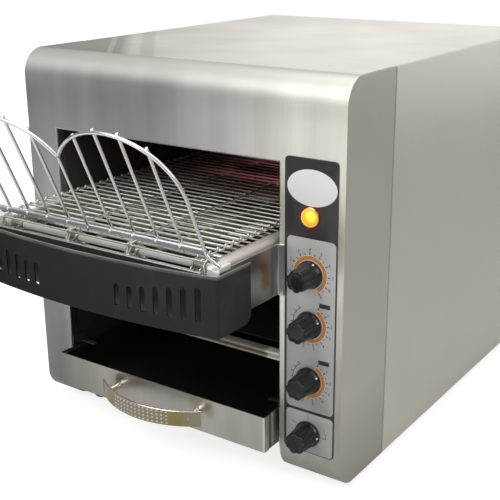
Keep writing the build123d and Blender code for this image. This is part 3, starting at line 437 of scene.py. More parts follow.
def pebble_group():
    """Moulded or coated surface: fine pebbles in the height, a slow change in colour and gloss."""
    name = "pebbled_coat"
    if name in bpy.data.node_groups:
        return bpy.data.node_groups[name]
    tree, given, out = group(
        name,
        (
            ("Vector", "Vector", None),
            ("Base", "Color", (0.05, 0.05, 0.05, 1.0)),
            ("Pebble", "Float", 900.0),
            ("Contrast", "Float", 0.2),
            ("Roughness", "Float", 0.4),
            ("Spread", "Float", 0.1),
            ("Depth", "Float", 0.00004),
        ),
        (("Color", "Color"), ("Roughness", "Float"), ("Normal", "Vector")),
    )
    fine = add(
        tree, "TexNoise",
        {"Vector": given.outputs["Vector"], "Scale": given.outputs["Pebble"], "Detail": 2.0},
    )
    slow = add(tree, "TexNoise", {"Vector": given.outputs["Vector"], "Scale": 26.0, "Detail": 4.0})
    both = maths(tree, "ADD", fine.outputs[0], slow.outputs[0])
    both = maths(tree, "SUBTRACT", both, 1.0)
    shade = maths(tree, "MULTIPLY_ADD", both, given.outputs["Contrast"], 1.0)
    colour = add(tree, "VectorMath", {0: given.outputs["Base"], "Scale": shade}, operation="SCALE")
    rough = maths(tree, "MULTIPLY_ADD", both, given.outputs["Spread"], given.outputs["Roughness"])
    bump = add(
        tree, "Bump", {"Height": fine.outputs[0], "Distance": given.outputs["Depth"], "Strength": 1.0}
    )
    tree.links.new(colour.outputs[0], out.inputs["Color"])
    tree.links.new(rough, out.inputs["Roughness"])
    tree.links.new(bump.outputs[0], out.inputs["Normal"])
    return tree


def placed_group(tree, made, inputs):
    node = tree.nodes.new("ShaderNodeGroup")
    node.node_tree = made
    for key, value in inputs.items():
        if isinstance(value, bpy.types.NodeSocket):
            tree.links.new(value, node.inputs[key])
        else:
            node.inputs[key].default_value = value
    return node


def blank(name):
    """A new material with its tree, its shader and the object coordinates."""
    made = bpy.data.materials.new(name)
    made.use_nodes = True
    tree = made.node_tree
    shader = tree.nodes["Principled BSDF"]
    where = tree.nodes.new("ShaderNodeTexCoord").outputs["Object"]
    return made, tree, shader, where


def rgba(colour):
    return (*colour, 1.0) if len(colour) == 3 else tuple(colour)


def metal(
    name, base, roughness, stretch, contrast=0.2, clouds=0.12, spread=0.1, depth=0.00002, tint=None
):
    """Metal with grain; tint = (colour, amount, size, dulling) adds heat marks."""
    if name in bpy.data.materials:
        return bpy.data.materials[name]
    made, tree, shader, where = blank(name)
    shader.inputs["Metallic"].default_value = 1.0
    inputs = {
        "Vector": where,
        "Stretch": stretch,
        "Base": rgba(base),
        "Contrast": contrast,
        "Clouds": clouds,
        "Roughness": roughness,
        "Spread": spread,
        "Depth": depth,
    }
    grain = placed_group(tree, grain_group(), inputs)
    colour, rough = grain.outputs["Color"], grain.outputs["Roughness"]
    if tint:
        marks = placed_group(
            tree,
            tint_group(),
            {
                "Vector": where,
                "Color": colour,
                "Tint": rgba(tint[0]),
                "Amount": tint[1],
                "Size": tint[2],
                "Roughness": rough,
                "Dulling": tint[3],
            },
        )
        colour, rough = marks.outputs["Color"], marks.outputs["Roughness"]
    tree.links.new(colour, shader.inputs["Base Color"])
    tree.links.new(rough, shader.inputs["Roughness"])
    tree.links.new(grain.outputs["Normal"], shader.inputs["Normal"])
    return made


def coated(
    name, base, roughness, pebble=900.0, contrast=0.2, spread=0.1, depth=0.00004, coat=0.0,
    metallic=0.0, shine=0.5,
):
    """Paint, plastic, rubber or ceramic with a fine skin."""
    if name in bpy.data.materials:
        return bpy.data.materials[name]
    made, tree, shader, where = blank(name)
    shader.inputs["Metallic"].default_value = metallic
    shader.inputs["Specular IOR Level"].default_value = shine
    shader.inputs["Coat Weight"].default_value = coat
    shader.inputs["Coat Roughness"].default_value = 0.12
    inputs = {
        "Vector": where,
        "Base": rgba(base),
        "Pebble": pebble,
        "Contrast": contrast,
        "Roughness": roughness,
        "Spread": spread,
        "Depth": depth,
    }
    skin = placed_group(tree, pebble_group(), inputs)
    tree.links.new(skin.outputs["Color"], shader.inputs["Base Color"])
    tree.links.new(skin.outputs["Roughness"], shader.inputs["Roughness"])
    tree.links.new(skin.outputs["Normal"], shader.inputs["Normal"])
    return made


def sockets_of(made):
    """A finished material's tree and shader, the colour that feeds it, and its Object coordinates."""
    tree = made.node_tree
    shader = tree.nodes["Principled BSDF"]
    plain = shader.inputs["Base Color"].links[0].from_socket
    return tree, shader, plain, tree.nodes["Texture Coordinate"].outputs["Object"]


def face_steel(colour):
    """Face of the housing: upright brushing with broad soft bands, and painted light and shade: a
    little lighter and warmer to the right and higher up, darker at the foot of the left post and along
    the bottom edge, and paler towards the upper bend like the lit top. Its colour is a painted shaded
    copy of the steel that the top and sides wear lit.
    """
    name = "brushed_face"
    if name in bpy.data.materials:
        return bpy.data.materials[name]
    made, tree, shader, where = blank(name)
    shader.inputs["Metallic"].default_value = 1.0
    grain = placed_group(
        tree,
        grain_group(),
        {
            "Vector": where,
            "Stretch": (2600.0, 2600.0, 9.0),
            "Base": rgba(colour),
            "Contrast": 0.22,
            "Clouds": 0.10,
            "Roughness": 0.34,
            "Spread": 0.10,
            "Depth": 0.000012,
        },
    )
    across = add(tree, "VectorMath", {0: where, 1: (26.0, 0.0, 3.5)}, operation="MULTIPLY")
    bands = add(tree, "TexNoise", {"Vector": across.outputs[0], "Scale": 1.0, "Detail": 3.0})
    band = shaped(tree, bands.outputs[0], 0.35, 0.7, 0.88, 1.14)
    x = add(tree, "SeparateXYZ", {0: where}).outputs[0]
    z = add(tree, "SeparateXYZ", {0: where}).outputs[2]
    # Painted light and shade: lighter towards the right, most so higher up, and darker towards the
    # left.
    right = maths(
        tree, "MULTIPLY", shaped(tree, x, -0.02, 0.13, 0.0, 0.90),
        shaped(tree, z, 0.05, 0.33, 0.62, 1.0),
    )
    side = maths(tree, "ADD", shaped(tree, x, -0.16, -0.06, 0.86, 0.74), right)
    # Painted shade at the foot of the left post.
    foot = maths(
        tree, "MAXIMUM", shaped(tree, x, -0.152, -0.144, 0.76, 1.0),
        shaped(tree, z, 0.15, 0.20, 0.76, 1.0),
    )
    side = maths(tree, "MULTIPLY", side, foot)
    # Painted light: a little lighter higher up.
    high = shaped(tree, z, 0.05, 0.36, 0.96, 1.10)
    both = maths(tree, "MULTIPLY", maths(tree, "MULTIPLY", band, side), high)
    shade = add(tree, "VectorMath", {0: grain.outputs["Color"], "Scale": both}, operation="SCALE")
    # Painted warm light towards the right.
    warm = add(tree, "VectorMath", {0: shade.outputs[0], 1: (1.05, 1.04, 0.90)}, operation="MULTIPLY")
    to_warm = shaped(tree, x, -0.02, 0.15)
    plain = mixed(tree, to_warm, shade.outputs[0], warm.outputs[0])
    top = BASE_Z + BODY_H * MM
    # Painted reflection: the upper bend turns paler, like the lit top.
    over = shaped(tree, z, top - 0.024, top - 0.001)
    # Painted shade: darker along the bottom edge, where the face turns under.
    hem = shaped(tree, z, BASE_Z + 0.0003, BASE_Z + 0.0030, 0.40, 1.0)
    bend = add(
        tree, "VectorMath", {0: mixed(tree, over, plain, (0.60, 0.59, 0.54, 1.0)), "Scale": hem},
        operation="SCALE",
    )
    tree.links.new(bend.outputs[0], shader.inputs["Base Color"])
    duller = maths(
        tree, "MULTIPLY", shaped(tree, z, top - 0.040, top - 0.020),
        shaped(tree, z, top - 0.010, top, 0.24, 0.04),
    )
    tree.links.new(maths(tree, "ADD", grain.outputs["Roughness"], duller), shader.inputs["Roughness"])
    tree.links.new(grain.outputs["Normal"], shader.inputs["Normal"])
    return made


def wrap_steel(colour):
    """Top and sides: upright brushing and a dark line at the joint behind the front shell. Painted
    shade makes the shell's side a shade deeper and darker still towards the bottom, and painted
    reflection lays dark slanting stripes over the top's front left. Its colour is a painted lit copy of
    the face's brushed steel."""
    name = "brushed_wrap"
    if name in bpy.data.materials:
        return bpy.data.materials[name]
    made = metal(name, colour, 0.36, (2400.0, 2400.0, 10.0), 0.14, 0.07, 0.08, 0.000010)
    tree, shader, plain, where = sockets_of(made)
    apart = add(tree, "SeparateXYZ", {0: where})
    y, z = apart.outputs[1], apart.outputs[2]
    joint = FACE_Y + SEAM_Y * MM
    away = maths(tree, "ABSOLUTE", maths(tree, "SUBTRACT", y, joint))
    line = shaped(tree, away, 0.0005, 0.0022, 0.66, 1.0)
    # Painted shade: ahead of the joint the shell's side is a shade deeper, darker still towards the
    # bottom.
    low = shaped(tree, z, BASE_Z, BASE_Z + 0.090, 0.60, 0.84)
    step = maths(tree, "MAXIMUM", shaped(tree, y, joint, joint + 0.0004), low)
    on_top = shaped(tree, z, BASE_Z + (BODY_H - 2.0) * MM, BASE_Z + (BODY_H - 1.0) * MM)
    # Painted reflection on the top: dark slanting stripes over its front left with one lighter band,
    # broken by slow noise.
    slant = maths(tree, "MULTIPLY_ADD", maths(tree, "SUBTRACT", y, FACE_Y), 0.83, apart.outputs[0])
    stripe = maths(tree, "ABSOLUTE", maths(tree, "ADD", slant, 0.024))
    dull = maths(
        tree, "MULTIPLY", shaped(tree, slant, -0.060, -0.044, 0.58, 1.08),
        shaped(tree, stripe, 0.007, 0.011, 0.84, 1.0),
    )
    gleam = maths(tree, "ABSOLUTE", maths(tree, "ADD", slant, 0.071))
    dull = maths(tree, "MAXIMUM", dull, shaped(tree, gleam, 0.003, 0.008, 0.80, 0.0))
    blotch = add(tree, "TexNoise", {"Vector": where, "Scale": 9.0, "Detail": 3.0}).outputs[0]
    dull = maths(tree, "MULTIPLY", dull, shaped(tree, blotch, 0.35, 0.65, 0.92, 1.06))
    side = maths(
        tree, "MULTIPLY", maths(tree, "MULTIPLY", line, step), maths(tree, "SUBTRACT", 1.0, on_top)
    )
    shade = maths(tree, "MULTIPLY_ADD", on_top, dull, side)
    marked = add(tree, "VectorMath", {0: plain, "Scale": shade}, operation="SCALE")
    tree.links.new(marked.outputs[0], shader.inputs["Base Color"])
    return made


def drawer_steel(colour):
    """Drawer front: upright brushing, with painted shade deeper towards its left end, a painted
    highlight down its right return, and painted shade in a dark line behind the joggles of its returned
    edges."""
    name = "brushed_drawer"
    if name in bpy.data.materials:
        return bpy.data.materials[name]
    made = metal(name, colour, 0.34, (2200.0, 2200.0, 12.0), 0.20, 0.10, 0.10, 0.000010)
    tree, shader, plain, where = sockets_of(made)
    apart = add(tree, "SeparateXYZ", {0: where})
    x, y = apart.outputs[0], apart.outputs[1]
    broad = add(tree, "VectorMath", {0: where, 1: (30.0, 0.0, 2.0)}, operation="MULTIPLY")
    bands = add(tree, "TexNoise", {"Vector": broad.outputs[0], "Scale": 1.0, "Detail": 3.0}).outputs[0]
    # Painted shade: deeper towards the left end; the slow bands are tone of the brushing.
    shade = maths(
        tree, "MULTIPLY", shaped(tree, x, -0.145, -0.030, 0.46, 1.0),
        shaped(tree, bands, 0.35, 0.7, 0.90, 1.10),
    )
    # Painted highlight down the right return and its fold.
    corner = shaped(
        tree, maths(tree, "ABSOLUTE", maths(tree, "SUBTRACT", x, (MID + 128.4) * MM)), 0.0006, 0.0016,
        1.45, 1.0,
    )
    shade = maths(tree, "MULTIPLY", shade, maths(tree, "MAXIMUM", corner, 1.0))
    # Painted shade: a dark line behind the joggle of each returned edge.
    behind = maths(tree, "ABSOLUTE", maths(tree, "SUBTRACT", y, FACE_Y - 0.0095))
    shade = maths(tree, "MULTIPLY", shade, shaped(tree, behind, 0.0016, 0.0030, 0.30, 1.0))
    marked = add(tree, "VectorMath", {0: plain, "Scale": shade}, operation="SCALE")
    tree.links.new(marked.outputs[0], shader.inputs["Base Color"])
    return made


def nickel_strap(colour):
    """Handle: satin nickel with a golden cast beside the grip dots."""
    name = "satin_nickel"
    if name in bpy.data.materials:
        return bpy.data.materials[name]
    made = metal(name, colour, 0.28, (12.0, 2000.0, 2000.0), 0.18, 0.2, 0.10, 0.000012)
    tree, shader, plain, where = sockets_of(made)
    x = add(tree, "SeparateXYZ", {0: where}).outputs[0]
    from_middle = maths(tree, "ABSOLUTE", maths(tree, "SUBTRACT", x, (MID + HANDLE_MID) * MM))
    away = maths(tree, "ABSOLUTE", maths(tree, "SUBTRACT", from_middle, 0.041))
    cast = shaped(tree, away, 0.004, 0.014, 0.85, 0.0)
    tree.links.new(mixed(tree, cast, plain, (0.40, 0.31, 0.12, 1.0)), shader.inputs["Base Color"])
    return made


def rail_steel(colour):
    """Conveyor rails: bright sheet, olive along its inner side as a painted dark reflection."""
    name = "rail_steel"
    if name in bpy.data.materials:
        return bpy.data.materials[name]
    made = coated(name, colour, 0.36, 700.0, 0.22, 0.16, 0.000006, 0.0, 0.35)
    tree, shader, plain, where = sockets_of(made)
    x = add(tree, "SeparateXYZ", {0: where}).outputs[0]
    across = maths(tree, "ABSOLUTE", maths(tree, "SUBTRACT", x, MID * MM))
    # Painted dark reflection: olive along the inner side, its edge wandering.
    wander = add(tree, "TexNoise", {"Vector": where, "Scale": 60.0, "Detail": 3.0}).outputs[0]
    bent = maths(tree, "MULTIPLY_ADD", wander, 0.004, across)
    olive = shaped(tree, bent, 0.1175, 0.1215, 0.8, 0.0)
    deep = mixed(tree, olive, plain, (0.20, 0.19, 0.13, 1.0))
    tree.links.new(deep, shader.inputs["Base Color"])
    return made


def belt_wire(colour):
    """Belt wires: bright with patches of olive heat tint and the hooked loops a shade deeper; painted
    shade runs them darker further into the opening, and a painted dull red glow, as emission, lies on
    the wires that pass under two of the tubes."""
    name = "belt_strand"
    if name in bpy.data.materials:
        return bpy.data.materials[name]
    made = coated(name, colour, 0.40, 500.0, 0.12, 0.1, 0.000003, 0.0, 0.85)
    tree, shader, plain, where = sockets_of(made)
    apart = add(tree, "SeparateXYZ", {0: where})
    across = maths(tree, "SUBTRACT", apart.outputs[0], (MID + HOOK_MID) * MM)
    from_hook = maths(
        tree, "ABSOLUTE", maths(tree, "SUBTRACT", maths(tree, "ABSOLUTE", across), HOOK_X * MM)
    )
    loops = shaped(tree, from_hook, 0.0030, 0.0050, 0.45, 0.0)
    patch = add(tree, "TexNoise", {"Vector": where, "Scale": 26.0, "Detail": 4.0}).outputs[0]
    heat = shaped(tree, patch, 0.45, 0.66, 0.0, 0.55)
    # Painted shade: the wires run darker olive further into the opening.
    deep = shaped(tree, apart.outputs[1], FACE_Y - 0.030, FACE_Y + 0.120, 0.0, 0.72)
    mark = maths(tree, "MAXIMUM", maths(tree, "MAXIMUM", loops, heat), deep)
    tree.links.new(mixed(tree, mark, plain, (0.23, 0.235, 0.17, 1.0)), shader.inputs["Base Color"])
    # Painted light: a dull red glow of the tubes, as emission on the wires beneath them.
    under = [
        shaped(
            tree, maths(tree, "ABSOLUTE", maths(tree, "SUBTRACT", apart.outputs[1], FACE_Y + middle)),
            0.006, 0.016, 1.0, 0.0,
        )
        for middle in (0.150, 0.208)
    ]
    glow = maths(
        tree, "MULTIPLY", maths(tree, "MAXIMUM", *under),
        shaped(tree, apart.outputs[0], -0.090, 0.010, 0.0, 1.0),
    )
    shader.inputs["Emission Color"].default_value = (0.62, 0.15, 0.19, 1.0)
    tree.links.new(maths(tree, "MULTIPLY", glow, 0.22), shader.inputs["Emission Strength"])
    return made


def guard_powder(colour):
    """Guard: black powder coat with faint rubbed patches; painted shade makes it deeper towards its
    left end and its foot, and a painted highlight lightens its top edge.
    """
    name = "guard_powder"
    if name in bpy.data.materials:
        return bpy.data.materials[name]
    made = coated(name, colour, 0.46, 1100.0, 0.6, 0.14, 0.00010, 0.0, 0.0, 0.24)
    tree, shader, plain, where = sockets_of(made)
    apart = add(tree, "SeparateXYZ", {0: where})
    # Painted shade: darker towards the left end and the foot.
    across = shaped(tree, apart.outputs[0], -0.12, 0.11, 0.40, 1.10)
    rise = shaped(tree, apart.outputs[2], BASE_Z + 0.176, BASE_Z + 0.226, 0.75, 1.15)
    patch = add(tree, "TexNoise", {"Vector": where, "Scale": 34.0, "Detail": 5.0}).outputs[0]
    rubbed = shaped(tree, patch, 0.55, 0.75, 1.0, 1.7)
    shade = maths(tree, "MULTIPLY", maths(tree, "MULTIPLY", across, rise), rubbed)
    deep = add(tree, "VectorMath", {0: plain, "Scale": shade}, operation="SCALE")
    shine = shaped(tree, apart.outputs[0], -0.12, 0.11, 0.08, 0.24)
    tree.links.new(shine, shader.inputs["Specular IOR Level"])
    # Painted highlight along the top edge, broken by the patch noise.
    rim = shaped(tree, apart.outputs[2], BASE_Z + 0.2256, BASE_Z + 0.2276, 0.0, 0.9)
    rim = maths(tree, "MULTIPLY", rim, shaped(tree, patch, 0.30, 0.60, 0.45, 1.0))
    tree.links.new(
        mixed(tree, rim, deep.outputs[0], (0.17, 0.17, 0.165, 1.0)), shader.inputs["Base Color"]
    )
    return made


def tinted_plate():
    """Feed unit's side plate: bright sheet with an upright brown band of painted reflection between the
    guard and the face, and a painted highlight along its top edge."""
    name = "feed_plate_steel"
    if name in bpy.data.materials:
        return bpy.data.materials[name]
    made = metal(name, (0.42, 0.43, 0.42), 0.30, (2400.0, 2400.0, 10.0), 0.12, 0.35, 0.10, 0.00001)
    tree, shader, plain, where = sockets_of(made)
    apart = add(tree, "SeparateXYZ", {0: where})
    y, z = apart.outputs[1], apart.outputs[2]
    # Painted reflection: an upright brown band between the guard and the face.
    wander = add(tree, "TexNoise", {"Vector": where, "Scale": 90.0, "Detail": 3.0}).outputs[0]
    bent = maths(tree, "MULTIPLY_ADD", wander, 0.014, y)
    away = maths(tree, "ABSOLUTE", maths(tree, "SUBTRACT", bent, FACE_Y - 0.021 + 0.007))
    band = shaped(tree, away, 0.003, 0.008, 0.85, 0.0)
    low = shaped(tree, z, BASE_Z + 0.186, BASE_Z + 0.194)
    high = shaped(tree, z, BASE_Z + 0.212, BASE_Z + 0.220, 1.0, 0.0)
    mark = maths(tree, "MULTIPLY", maths(tree, "MULTIPLY", band, low), high)
    with_painted_reflection = mixed(tree, mark, plain, (0.42, 0.20, 0.10, 1.0))
    # Painted highlight along the plate's top edge.
    top_edge_highlight = shaped(tree, z, BASE_Z + 0.2248, BASE_Z + 0.2252)
    tree.links.new(mixed(tree, top_edge_highlight, with_painted_reflection, (0.95, 0.93, 0.93, 1.0)), shader.inputs["Base Color"])
    return made


def glowing_tube():
    """Quartz tube: frosted, with the dull red coil glowing through in bands; it is seen brighter than
    it casts."""
    name = "quartz_glow"
    if name in bpy.data.materials:
        return bpy.data.materials[name]
    made, tree, shader, where = blank(name)
    coil = add(
        tree, "TexWave", {"Vector": where, "Scale": 130.0, "Distortion": 0.6}, bands_direction="X"
    )
    x = add(tree, "SeparateXYZ", {0: where}).outputs[0]
    ends = maths(tree, "ABSOLUTE", maths(tree, "SUBTRACT", x, MID * MM))
    hot = shaped(tree, ends, 0.112, 0.128, 1.0, 0.0)
    glow = maths(tree, "MULTIPLY", shaped(tree, coil.outputs[1], 0.2, 0.8, 0.45, 1.0), hot)
    skin = mixed(tree, coil.outputs[1], (0.16, 0.10, 0.09, 1.0), (0.30, 0.16, 0.13, 1.0))
    light = mixed(tree, glow, (0.0, 0.0, 0.0, 1.0), (0.72, 0.05, 0.03, 1.0))
    tree.links.new(skin, shader.inputs["Base Color"])
    tree.links.new(light, shader.inputs["Emission Color"])
    rays = tree.nodes.new("ShaderNodeLightPath")
    strength = add(tree, "Mix", {0: rays.outputs["Is Camera Ray"], 2: 0.16, 3: 2.6})
    tree.links.new(strength.outputs[0], shader.inputs["Emission Strength"])
    shader.inputs["Roughness"].default_value = 0.22
    return made


def overlay_film(colour):
    """Control panel's film: black, with the lamp's dark red glow round its bezel."""
    name = "overlay_film"
    if name in bpy.data.materials:
        return bpy.data.materials[name]
    made = coated(name, colour, 0.34, 1600.0, 0.3, 0.10, 0.00001, 0.25)
    tree, shader, plain, where = sockets_of(made)
    reach = lamp_reach(tree, where)
    halo = shaped(tree, reach, 0.0090, 0.0145, 1.0, 0.0)
    tree.links.new(mixed(tree, halo, plain, (0.085, 0.010, 0.008, 1.0)), shader.inputs["Base Color"])
    return made


def silver_print(colour):
    """Control panel's silver fields: fine metallic print, a shade deeper towards the foot."""
    name = "silver_print"
    if name in bpy.data.materials:
        return bpy.data.materials[name]
    made = coated(name, colour, 0.42, 2600.0, 0.10, 0.08, 0.000006, 0.0, 0.35)
    tree, shader, plain, where = sockets_of(made)
    z = add(tree, "SeparateXYZ", {0: where}).outputs[2]
    shade = shaped(tree, z, 0.02, 0.22, 0.80, 1.02)
    deep = add(tree, "VectorMath", {0: plain, "Scale": shade}, operation="SCALE")
    tree.links.new(deep.outputs[0], shader.inputs["Base Color"])
    return made


def lamp_reach(tree, where):
    """Distance from the lamp's axis, in metres."""
    centre = tuple(row((PANEL_X, 0.0, LAMP_Z + 1.0)))
    flat = add(tree, "VectorMath", {0: where, 1: centre}, operation="SUBTRACT")
    flat = add(tree, "VectorMath", {0: flat.outputs[0], 1: (1.0, 0.0, 1.0)}, operation="MULTIPLY")
    return add(tree, "VectorMath", {0: flat.outputs[0]}, operation="LENGTH").outputs["Value"]


def amber_lens():
    """Lit amber lens: yellow where it is seen straight on, orange towards its rim, pale glints at the
    foot."""
    name = "amber_lens"
    if name in bpy.data.materials:
        return bpy.data.materials[name]
    made, tree, shader, where = blank(name)
    facing = tree.nodes.new("ShaderNodeLayerWeight").outputs["Facing"]
    facet = add(tree, "TexVoronoi", {"Vector": where, "Scale": 420.0})
    cell = shaped(tree, facet.outputs[0], 0.1, 0.7, 0.0, 0.20)
    ring = maths(tree, "ADD", shaped(tree, facing, 0.02, 0.26), cell)
    core = mixed(tree, ring, (0.84, 0.72, 0.06, 1.0), (0.74, 0.35, 0.025, 1.0))
    rim = maths(
        tree, "MULTIPLY", shaped(tree, facing, 0.55, 0.80),
        shaped(tree, facet.outputs[0], 0.15, 0.55, 0.35, 1.0),
    )
    light = mixed(tree, rim, core, (0.90, 0.66, 0.30, 1.0))
    tree.links.new(light, shader.inputs["Emission Color"])
    tree.links.new(light, shader.inputs["Base Color"])
    bump = add(tree, "Bump", {"Height": facet.outputs[0], "Distance": 0.0002, "Strength": 0.6})
    tree.links.new(bump.outputs[0], shader.inputs["Normal"])
    shader.inputs["Emission Strength"].default_value = 0.80
    shader.inputs["Roughness"].default_value = 0.12
    return made


def finish(name):
    """The finishes by name, each made once."""
    tone = bpy.context.scene.toaster_finish
    along_y = (2000.0, 12.0, 2000.0)
    along_x = (12.0, 2000.0, 2000.0)
    brown = (0.16, 0.09, 0.045)
    recipes = {
        "face": lambda: face_steel(tone.face),
        "wrap": lambda: wrap_steel(tone.wrap),
        "drawer": lambda: drawer_steel(tone.drawer),
        "pan_side": lambda: metal(
            "bare_pan", (0.46, 0.45, 0.40), 0.36, along_y, 0.16, 0.10, 0.10, 0.000010
        ),
        "hidden": lambda: metal(
            "galvanised", (0.42, 0.43, 0.44), 0.45, (300.0, 300.0, 300.0), 0.35, 0.3, 0.2
        ),
        "plate": tinted_plate,
        "rail": lambda: rail_steel((0.82, 0.79, 0.74)),
        "bright": lambda: metal(
            "turned_steel", (0.80, 0.80, 0.79), 0.16, (500.0, 500.0, 500.0), 0.10, 0.1, 0.08
        ),
        "casting": lambda: coated(
            "corner_casting", (0.90, 0.90, 0.87), 0.32, 500.0, 0.12, 0.15, 0.00003, 0.2, 0.2
        ),
        "belt": lambda: belt_wire((0.83, 0.83, 0.78)),
        "tube": lambda: coated(
            "spacer_tube", (0.74, 0.74, 0.72), 0.34, 500.0, 0.04, 0.05, 0.0000005, 0.0, 0.25, 0.6
        ),
        "sprocket": lambda: metal(
            "sprocket_steel", (0.44, 0.42, 0.33), 0.36, (900.0, 900.0, 900.0), 0.3, 0.3, 0.2
        ),
        "hem": lambda: metal("hem_steel", (0.46, 0.46, 0.46), 0.34, along_x, 0.2, 0.3, 0.15),
        "rack": lambda: metal(
            "rack_rod", (0.74, 0.74, 0.75), 0.20, (700.0, 700.0, 700.0), 0.12, 0.2, 0.10, 0.000004
        ),
        "rack_bar": lambda: metal(
            "rack_flat_bar", (0.70, 0.68, 0.72), 0.42, along_x, 0.3, 0.4, 0.15, 0.00001
        ),
        "reflector": lambda: metal(
            "reflector_sheet", (0.44, 0.41, 0.38), 0.30, along_x, 0.2, 0.3, 0.15, 0.00002,
            (brown, 0.6, 20.0, 0.2)
        ),
        "handle": lambda: nickel_strap(tone.handle),
        # Polished nickel for the handle's posts, and a painted highlight on its dots, top edge and
        # ends.
        "nickel_posts_and_highlights": lambda: metal(
            "polished_nickel", (0.84, 0.80, 0.68), 0.16, (900.0, 900.0, 900.0), 0.1, 0.1, 0.06
        ),
        "motor": lambda: metal(
            "motor_zinc", (0.32, 0.33, 0.35), 0.42, (400.0, 400.0, 400.0), 0.3, 0.2, 0.2
        ),
        "guard": lambda: guard_powder(tone.guard),
        "dark": lambda: coated("dark_lip", (0.022, 0.021, 0.020), 0.5, 700.0, 0.5, 0.2, 0.00006),
        "enamel": lambda: coated(
            "black_enamel", (0.012, 0.012, 0.012), 0.38, 500.0, 0.5, 0.2, 0.00003, 0.2
        ),
        "film": lambda: overlay_film((0.022, 0.021, 0.023)),
        "silver": lambda: silver_print(tone.silver),
        "badge": lambda: coated(
            "white_print", (0.85, 0.85, 0.86), 0.35, 1800.0, 0.05, 0.06, 0.000004, 0.2
        ),
        "orange": lambda: coated("orange_print", tone.orange, 0.40, 1800.0, 0.18, 0.06, 0.000004, 0.1),
        "ink": lambda: coated("black_print", (0.02, 0.02, 0.022), 0.40, 1800.0, 0.2, 0.06, 0.000004),
        "knob": lambda: coated(
            "knob_moulding", tone.knob, 0.26, 1400.0, 0.4, 0.12, 0.00002, 0.0, 0.0, 0.45
        ),
        "dot": lambda: coated("pointer_dot", (0.88, 0.88, 0.86), 0.35, 1500.0, 0.08, 0.06, 0.00001),
        "moulding": lambda: coated(
            "black_moulding", (0.035, 0.035, 0.038), 0.45, 1200.0, 0.3, 0.15, 0.00004
        ),
        "ceramic": lambda: coated(
            "glazed_ceramic", (0.80, 0.76, 0.68), 0.22, 600.0, 0.10, 0.10, 0.00003, 0.5
        ),
        "rubber": lambda: coated(
            "moulded_rubber", (0.028, 0.028, 0.028), 0.72, 700.0, 0.4, 0.1, 0.00008
        ),
        # Soot-dark steel that is also painted shade, for the chute, the chamber walls and the drawer
        # tabs.
        "soot_and_shade": lambda: coated(
            "sooty_steel", (0.105, 0.100, 0.085), 0.42, 400.0, 0.5, 0.2, 0.00004, 0.0, 0.7
        ),
        "gilt": lambda: metal(
            "gilt_ring", (0.62, 0.46, 0.24), 0.24, (600.0, 600.0, 600.0), 0.12, 0.2, 0.1
        ),
        # Painted highlight: the lighter grey of the guard's top edge.
        "guard_highlight": lambda: coated(
            "guard_edge_wear", (0.27, 0.265, 0.26), 0.36, 900.0, 0.5, 0.2, 0.00006, 0.2
        ),
        "lens": amber_lens,
        "quartz": glowing_tube,
        "cool_quartz": lambda: coated(
            "cool_quartz", (0.07, 0.055, 0.05), 0.25, 300.0, 0.3, 0.1, 0.00002, 0.3
        ),
    }
    return recipes[name]()


# ---------------------------------------------------------------- settings
class ToasterSizes(bpy.types.PropertyGroup):
    """Sizes that a user would change, in millimetres."""

    edge_round: FloatProperty(
        name="Sheet edge round", description="Round on cut sheet edges, mm", default=0.35, min=0.05,
        max=0.55,
    )
    wire_radius: FloatProperty(
        name="Belt wire radius", description="Radius of the belt's wires, mm", default=0.95, min=0.5,
        max=1.0,
    )
    rack_frame: FloatProperty(
        name="Rack frame radius", description="Radius of the rack's arches, mm", default=1.6, min=1.0,
        max=2.0,
    )
    rack_wire: FloatProperty(
        name="Rack wire radius", description="Radius of the rack's upright wires, mm", default=1.4,
        min=0.8, max=1.8,
    )
    dimple_height: FloatProperty(
        name="Grip dot height", description="Height of the dots on the handle, mm", default=0.45,
        min=0.0, max=0.8,
    )
    knob_lobes: IntProperty(
        name="Knob lobes", description="Lobes round a knob's grip", default=7, min=5, max=12
    )
    print_height: FloatProperty(
        name="Print thickness", description="Thickness of the printed layers, mm", default=0.05,
        min=0.02, max=0.1,
    )


class ToasterFinish(bpy.types.PropertyGroup):
    """Colours of the main finishes, linear."""

    # The face and the wrap are one brushed steel: the face colour is its painted shaded copy, the wrap
    # colour its painted lit copy.
    face: FloatVectorProperty(
        name="Face steel", description="Brushed face", subtype="COLOR", size=3,
        default=(0.43, 0.43, 0.445),
    )
    wrap: FloatVectorProperty(
        name="Wrap steel", description="Brushed top and sides", subtype="COLOR", size=3,
        default=(0.76, 0.74, 0.66),
    )
    drawer: FloatVectorProperty(
        name="Drawer steel", description="Brushed drawer front", subtype="COLOR", size=3,
        default=(0.60, 0.59, 0.54),
    )
    handle: FloatVectorProperty(
        name="Handle", description="Satin nickel", subtype="COLOR", size=3, default=(0.40, 0.36, 0.27)
    )
    guard: FloatVectorProperty(
        name="Guard", description="Black powder coat", subtype="COLOR", size=3,
        default=(0.016, 0.016, 0.015),
    )
    silver: FloatVectorProperty(
        name="Panel silver", description="Silver print", subtype="COLOR", size=3,
        default=(0.55, 0.55, 0.55),
    )
    orange: FloatVectorProperty(
        name="Dial orange", description="Orange print", subtype="COLOR", size=3,
        default=(0.62, 0.24, 0.045),
    )
    knob: FloatVectorProperty(
        name="Knob", description="Black moulding", subtype="COLOR", size=3,
        default=(0.008, 0.0085, 0.009),
    )


# ---------------------------------------------------------------- housing
def low_bend():
    """The front shell's low bend from the bottom leaf to the face: y = R - R sin t, z = R - R cos t."""
    t = np.linspace(0, math.pi / 2, 15)
    return np.stack((BEND_R - BEND_R * np.sin(t), BEND_R - BEND_R * np.cos(t)), -1)


